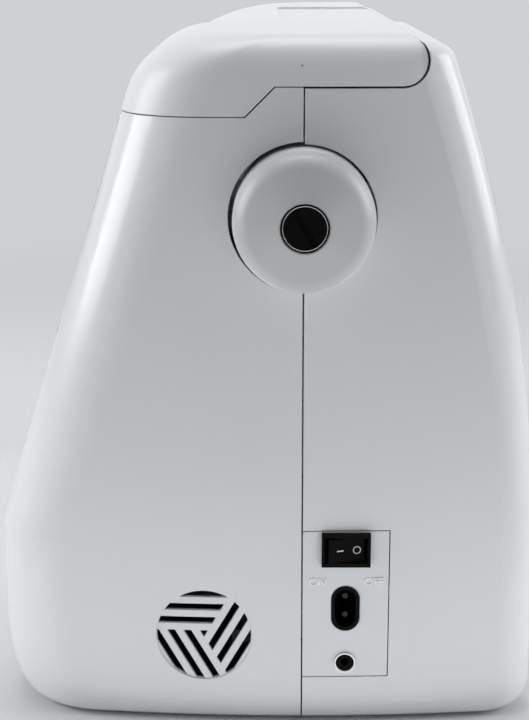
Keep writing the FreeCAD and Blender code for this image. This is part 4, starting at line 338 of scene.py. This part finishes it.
def ringMark(name, radius, width, height, origin, normal, up, material, body):
    # a disc with its middle taken out, drawn up and eased, or a dot where the width leaves no middle
    bpy.ops.object.select_all(action="DESELECT")
    bpy.ops.mesh.primitive_circle_add(vertices=72, radius=radius + width / 2, fill_type="NGON")
    ring = bpy.context.object
    bpy.ops.object.mode_set(mode="EDIT")
    bpy.ops.mesh.select_all(action="SELECT")
    if width < 2 * radius:
        bpy.ops.mesh.inset(thickness=width)
        bpy.ops.mesh.delete(type="FACE")
    bpy.ops.mesh.select_all(action="SELECT")
    bpy.ops.mesh.extrude_region_move(TRANSFORM_OT_translate={"value": (0, 0, height)})
    bpy.ops.mesh.select_all(action="SELECT")
    bpy.ops.transform.translate(value=(0, 0, -height / 2))
    bpy.ops.mesh.normals_make_consistent(inside=False)
    bpy.ops.object.mode_set(mode="OBJECT")
    eased = ring.modifiers.new("easedEdge", "BEVEL")
    eased.width = min(width, height) * easedShare
    eased.segments = 2
    eased.limit_method = "ANGLE"
    eased.angle_limit = math.radians(60)
    bpy.ops.object.modifier_apply(modifier="easedEdge")
    standOn(ring, origin, normal, up)
    finishPiece(ring, name, material, body)


def barMark(name, length, width, height, origin, normal, up, material, body):
    # a printed bar: a plate with its edges eased
    bpy.ops.object.select_all(action="DESELECT")
    bpy.ops.mesh.primitive_cube_add(size=1)
    bar = bpy.context.object
    bar.scale = (width, length, height)
    bpy.ops.object.transform_apply(location=False, rotation=False, scale=True)
    bpy.ops.object.mode_set(mode="EDIT")
    bpy.ops.mesh.select_all(action="SELECT")
    bpy.ops.mesh.bevel(offset=min(width, height) * easedShare, segments=2, affect="EDGES")
    bpy.ops.object.mode_set(mode="OBJECT")
    standOn(bar, origin, normal, up)
    finishPiece(bar, name, material, body)


# the covers' bulged end, in millimetres
splitY = 15.75
endX = 197.5
bulge = 1500


def endFace(y):
    return endX - (y - splitY) ** 2 / bulge


switchMarks = {"letterHeight": 3.4, "onY": 22.6, "offY": 46.8, "letterZ": 66.2, "relief": 0.38,
               "sink": 0.1}
for words, y in (("ON", switchMarks["onY"]), ("OFF", switchMarks["offY"])):
    lettering(words, switchMarks["letterHeight"] / 1000, switchMarks["relief"] / 1000,
              mm(endFace(y) - switchMarks["sink"], y, switchMarks["letterZ"]), (1, 0, 0), (0, 0, 1),
              "letters_" + words.lower(), "letterHighlightWhite", "machine")

rocker = {"centreY": 34.65, "centreZ": 81.5, "half": 7.6, "high": 3.8, "middle": 1.4, "low": 0.6,
          "barOut": 2.6, "barLength": 3.0, "barWidth": 0.55, "ringOut": 4.6, "ringRadius": 1.55,
          "ringWidth": 0.36, "ringDepth": 0.2, "barDepth": 0.3}
rise = (rocker["high"] - rocker["middle"]) / rocker["half"]  # slope of the raised half
barPlace = mm(endX + rocker["middle"] + rise * rocker["barOut"], rocker["centreY"] - rocker["barOut"],
              rocker["centreZ"])
barMark("rocker_on_mark", rocker["barWidth"] / 1000, rocker["barLength"] / 1000, rocker["barDepth"] / 1000,
        barPlace, (1, rise, 0), (0, 0, 1), "printWhite", "rocker")
fall = (rocker["middle"] - rocker["low"]) / rocker["half"]
ringPlace = mm(endX + rocker["middle"] - fall * rocker["ringOut"], rocker["centreY"] + rocker["ringOut"],
               rocker["centreZ"])
ringMark("rocker_off_mark", rocker["ringRadius"] / 1000, rocker["ringWidth"] / 1000,
         rocker["ringDepth"] / 1000, ringPlace, (1, fall, 0), (0, 0, 1), "printWhite", "rocker")

# a chrome ring around the clutch screw stands in for the highlight on the cap's edge chamfer: a painted
# highlight
hub = {"ring": 8.85, "width": 0.32, "depth": 0.16, "face": 222.2, "height": 225}
ringMark("hub_highlight_ring", hub["ring"] / 1000, hub["width"] / 1000, hub["depth"] / 1000,
         mm(hub["face"], splitY, hub["height"]), (1, 0, 0), (0, 0, 1), "chromePlate", "wheel")

gate = {"radius": 0.42, "depth": 0.18, "place": (197.1, 14.9, 286.2)}
ringMark("lid_gate_mark", gate["radius"] / 2000, gate["radius"] / 1000, gate["depth"] / 1000,
         mm(*gate["place"]), (1, 0, 0), (0, 0, 1), "printGrey", "lid")
print("marks at the wheel end made")

# marks on the slanted front, placed by distance along the machine and climb up the slope
slope = math.radians(17.5)
slopeFoot = {"y": -118.75, "z": 82}
slopeOut = (0, -math.cos(slope), math.sin(slope))
slopeUp = (0, math.sin(slope), math.cos(slope))


def onSlope(x, climb, rise):
    y = slopeFoot["y"] + climb * math.sin(slope) - rise * math.cos(slope)
    return mm(x, y, slopeFoot["z"] + climb * math.cos(slope) + rise * math.sin(slope))


def slopeTurned(degrees):
    # up direction on the slope, turned about its normal
    turn = math.radians(degrees)
    return (-math.sin(turn), math.cos(turn) * slopeUp[1], math.cos(turn) * slopeUp[2])


keyMarks = {"climb": 88, "rise": 1.2, "plusX": 134, "minusX": 100, "length": 5.0, "width": 0.9, "depth": 0.3}


def keyBar(name, x, degrees, body):
    barMark(name, keyMarks["length"] / 1000, keyMarks["width"] / 1000, keyMarks["depth"] / 1000,
            onSlope(x, keyMarks["climb"], keyMarks["rise"]), slopeOut, slopeTurned(degrees),
            "printGrey", body)


keyBar("minus_bar", keyMarks["minusX"], 90, "minus")
keyBar("plus_bar_level", keyMarks["plusX"], 90, "plus")
keyBar("plus_bar_upright", keyMarks["plusX"], 0, "plus")

buttonMarks = {"climb": 92, "rise": 1.6, "startX": -122, "ringRadius": 3.1, "ringWidth": 0.8,
               "ringDepth": 0.4, "reverseX": -140, "needleX": -158, "armLength": 3.4, "armWidth": 0.75,
               "armTurn": 45, "apart": 1.8, "depth": 0.3}
ringMark("start_ring", buttonMarks["ringRadius"] / 1000, buttonMarks["ringWidth"] / 1000,
         buttonMarks["ringDepth"] / 1000,
         onSlope(buttonMarks["startX"], buttonMarks["climb"], buttonMarks["rise"]), slopeOut, slopeUp,
         "printGrey", "start")


def chevron(name, x, climb, point, body):
    # two short bars meeting in a point, which is up for 1 and down for -1
    reach = buttonMarks["armLength"] * math.sin(math.radians(buttonMarks["armTurn"])) / 2
    for side, label in ((-1, "left"), (1, "right")):
        barMark(f"{name}_{label}", buttonMarks["armLength"] / 1000, buttonMarks["armWidth"] / 1000,
                buttonMarks["depth"] / 1000, onSlope(x + side * reach, climb, buttonMarks["rise"]),
                slopeOut, slopeTurned(buttonMarks["armTurn"] * side * point), "printGrey", body)


chevron("reverse_arrow", buttonMarks["reverseX"], buttonMarks["climb"], -1, "reverse")
chevron("needle_arrow_high", buttonMarks["needleX"], buttonMarks["climb"] + buttonMarks["apart"], 1,
        "needle_stop")
chevron("needle_arrow_low", buttonMarks["needleX"], buttonMarks["climb"] - buttonMarks["apart"], -1,
        "needle_stop")

speedMarks = {"climb": 149, "lowX": -86, "step": 5.75, "count": 9, "short": 1.2, "growth": 0.35, "width": 0.6,
              "depth": 0.16}
for index in range(speedMarks["count"]):
    tall = speedMarks["short"] + speedMarks["growth"] * index
    barMark(f"speed_mark_{index}", tall / 1000, speedMarks["width"] / 1000, speedMarks["depth"] / 1000,
            onSlope(speedMarks["lowX"] + speedMarks["step"] * index, speedMarks["climb"] + tall / 2, 0),
            slopeOut, slopeUp, "printGrey", "machine")

dialMarks = {"centre": (-140, -56.435, 236.408), "radius": 17.0, "height": 3.2, "step": 30, "count": 10,
             "depth": 0.08}
for index in range(dialMarks["count"]):
    turn = math.radians(dialMarks["step"] * index)
    outward = (0, -math.cos(slope) * math.cos(turn) + math.sin(slope) * math.sin(turn),
               math.sin(slope) * math.cos(turn) + math.cos(slope) * math.sin(turn))
    upward = (0, math.cos(slope) * math.sin(turn) + math.sin(slope) * math.cos(turn),
              math.cos(slope) * math.cos(turn) - math.sin(slope) * math.sin(turn))
    spot = [dialMarks["centre"][axis] + dialMarks["radius"] * outward[axis] for axis in range(3)]
    lettering(str(index), dialMarks["height"] / 1000, dialMarks["depth"] / 1000, mm(*spot), outward, upward,
              f"dial_number_{index}", "printGrey", "dial")
print("marks on the front made")

# floor, light and camera

studio = {"floor": 40.0, "floorColour": (0.74, 0.75, 0.76, 1), "farColour": (0.62, 0.63, 0.645, 1),
          "mirrorColour": (0.82, 0.83, 0.84, 1), "nearEdge": 0.35, "farEdge": 1.1, "roughness": 0.7,
          "airColour": (0.9, 0.95, 1.0, 1), "airLight": 0.1}


def floorMaterial():
    # lit near the machine so that it takes its shadow, and fading to the plain far colour
    material = bpy.data.materials.new("floorPaint")
    material.use_nodes = True
    tree = material.node_tree
    bsdf = tree.nodes["Principled BSDF"]
    bsdf.inputs["Base Color"].default_value = studio["floorColour"]
    bsdf.inputs["Roughness"].default_value = studio["roughness"]
    place = tree.nodes.new("ShaderNodeTexCoord")
    away = addNode(tree, "ShaderNodeVectorMath", operation="LENGTH")
    fade = addNode(tree, "ShaderNodeMapRange", interpolation_type="SMOOTHSTEP",
                   From_Min=studio["nearEdge"], From_Max=studio["farEdge"])
    rays = tree.nodes.new("ShaderNodeLightPath")
    share = addNode(tree, "ShaderNodeMath", operation="MULTIPLY")
    far = addNode(tree, "ShaderNodeEmission", Color=studio["farColour"], Strength=1.0)
    mix = tree.nodes.new("ShaderNodeMixShader")
    tree.links.new(place.outputs["Object"], away.inputs[0])
    tree.links.new(away.outputs["Value"], fade.inputs["Value"])
    tree.links.new(fade.outputs["Result"], share.inputs[0])
    tree.links.new(rays.outputs["Is Camera Ray"], share.inputs[1])
    tree.links.new(share.outputs["Value"], mix.inputs["Fac"])
    tree.links.new(bsdf.outputs["BSDF"], mix.inputs[1])
    tree.links.new(far.outputs["Emission"], mix.inputs[2])
    tree.links.new(mix.outputs["Shader"], tree.nodes["Material Output"].inputs["Surface"])
    return material


bpy.ops.mesh.primitive_plane_add(size=studio["floor"], location=(0, 0, 0))
floor = bpy.context.object
floor.name = "studio_floor"
floor.data.materials.append(floorMaterial())

world = bpy.data.worlds.new("studio")
scene.world = world
world.use_nodes = True
worldTree = world.node_tree
background = worldTree.nodes["Background"]
background.inputs["Color"].default_value = studio["airColour"]
background.inputs["Strength"].default_value = studio["airLight"]
seen = addNode(worldTree, "ShaderNodeBackground", Color=studio["farColour"], Strength=1.0)
mirrored = addNode(worldTree, "ShaderNodeBackground", Color=studio["mirrorColour"], Strength=1.0)
rays = worldTree.nodes.new("ShaderNodeLightPath")
inGloss = worldTree.nodes.new("ShaderNodeMixShader")  # what smooth surfaces mirror
inView = worldTree.nodes.new("ShaderNodeMixShader")
worldTree.links.new(rays.outputs["Is Glossy Ray"], inGloss.inputs["Fac"])
worldTree.links.new(background.outputs["Background"], inGloss.inputs[1])
worldTree.links.new(mirrored.outputs["Background"], inGloss.inputs[2])
worldTree.links.new(rays.outputs["Is Camera Ray"], inView.inputs["Fac"])
worldTree.links.new(inGloss.outputs["Shader"], inView.inputs[1])
worldTree.links.new(seen.outputs["Background"], inView.inputs[2])
worldTree.links.new(inView.outputs["Shader"], worldTree.nodes["World Output"].inputs["Surface"])

lamps = {
    "topBox": {"place": (-0.15, 0, 1.6), "aim": (-0.15, 0, 0), "size": (1.0, 1.0), "power": 12},
    "frontBox": {"place": (0.12, -1.4, 0.65), "aim": (0, 0, 0.18), "size": (0.9, 0.9), "power": 14},
    "rearBox": {"place": (0.0, 1.4, 0.7), "aim": (0, 0, 0.2), "size": (1.0, 1.0), "power": 12.5},
    "endBox": {"place": (0.95, 0.65, 0.2), "aim": (0.2, 0.05, 0.1), "size": (0.5, 0.5), "power": 0.9},
    "lowBox": {"place": (0.33, 0, 0.004), "aim": (0.33, 0, 1), "size": (0.25, 0.5), "power": 0.25},
}
for name, lamp in lamps.items():
    light = bpy.data.lights.new(name, "AREA")
    light.shape = "RECTANGLE"
    light.size, light.size_y = lamp["size"]
    light.energy = lamp["power"]
    holder = bpy.data.objects.new(name, light)
    scene.collection.objects.link(holder)
    holder.location = lamp["place"]
    holder.visible_camera = False
    holder.rotation_euler = (Vector(lamp["aim"]) - Vector(lamp["place"])).to_track_quat("-Z", "Y").to_euler()

view = {"place": (827.94, 1.78, 330.73), "yaw": 0.188, "pitch": 14.68, "roll": -0.085, "lens": 78.31,
        "sensor": 36, "nearClip": 0.01}
camera = bpy.data.cameras.new("photoCamera")
camera.sensor_fit = "VERTICAL"
camera.sensor_height = view["sensor"]
camera.lens = view["lens"]
camera.clip_start = view["nearClip"]
eye = bpy.data.objects.new("photoCamera", camera)
scene.collection.objects.link(eye)
yaw, pitch, roll = (math.radians(view[key]) for key in ("yaw", "pitch", "roll"))
ahead = Vector((-math.cos(pitch) * math.cos(yaw), -math.cos(pitch) * math.sin(yaw), -math.sin(pitch)))
side = Vector((-math.sin(yaw), math.cos(yaw), 0))
upward = side.cross(ahead)
right = side * math.cos(roll) + upward * math.sin(roll)
top = upward * math.cos(roll) - side * math.sin(roll)
facing = Matrix((right, top, -ahead)).transposed().to_4x4()
eye.matrix_world = Matrix.Translation(Vector(mm(*view["place"]))) @ facing
scene.camera = eye
scene.view_settings.view_transform = "Standard"
print("stage set")
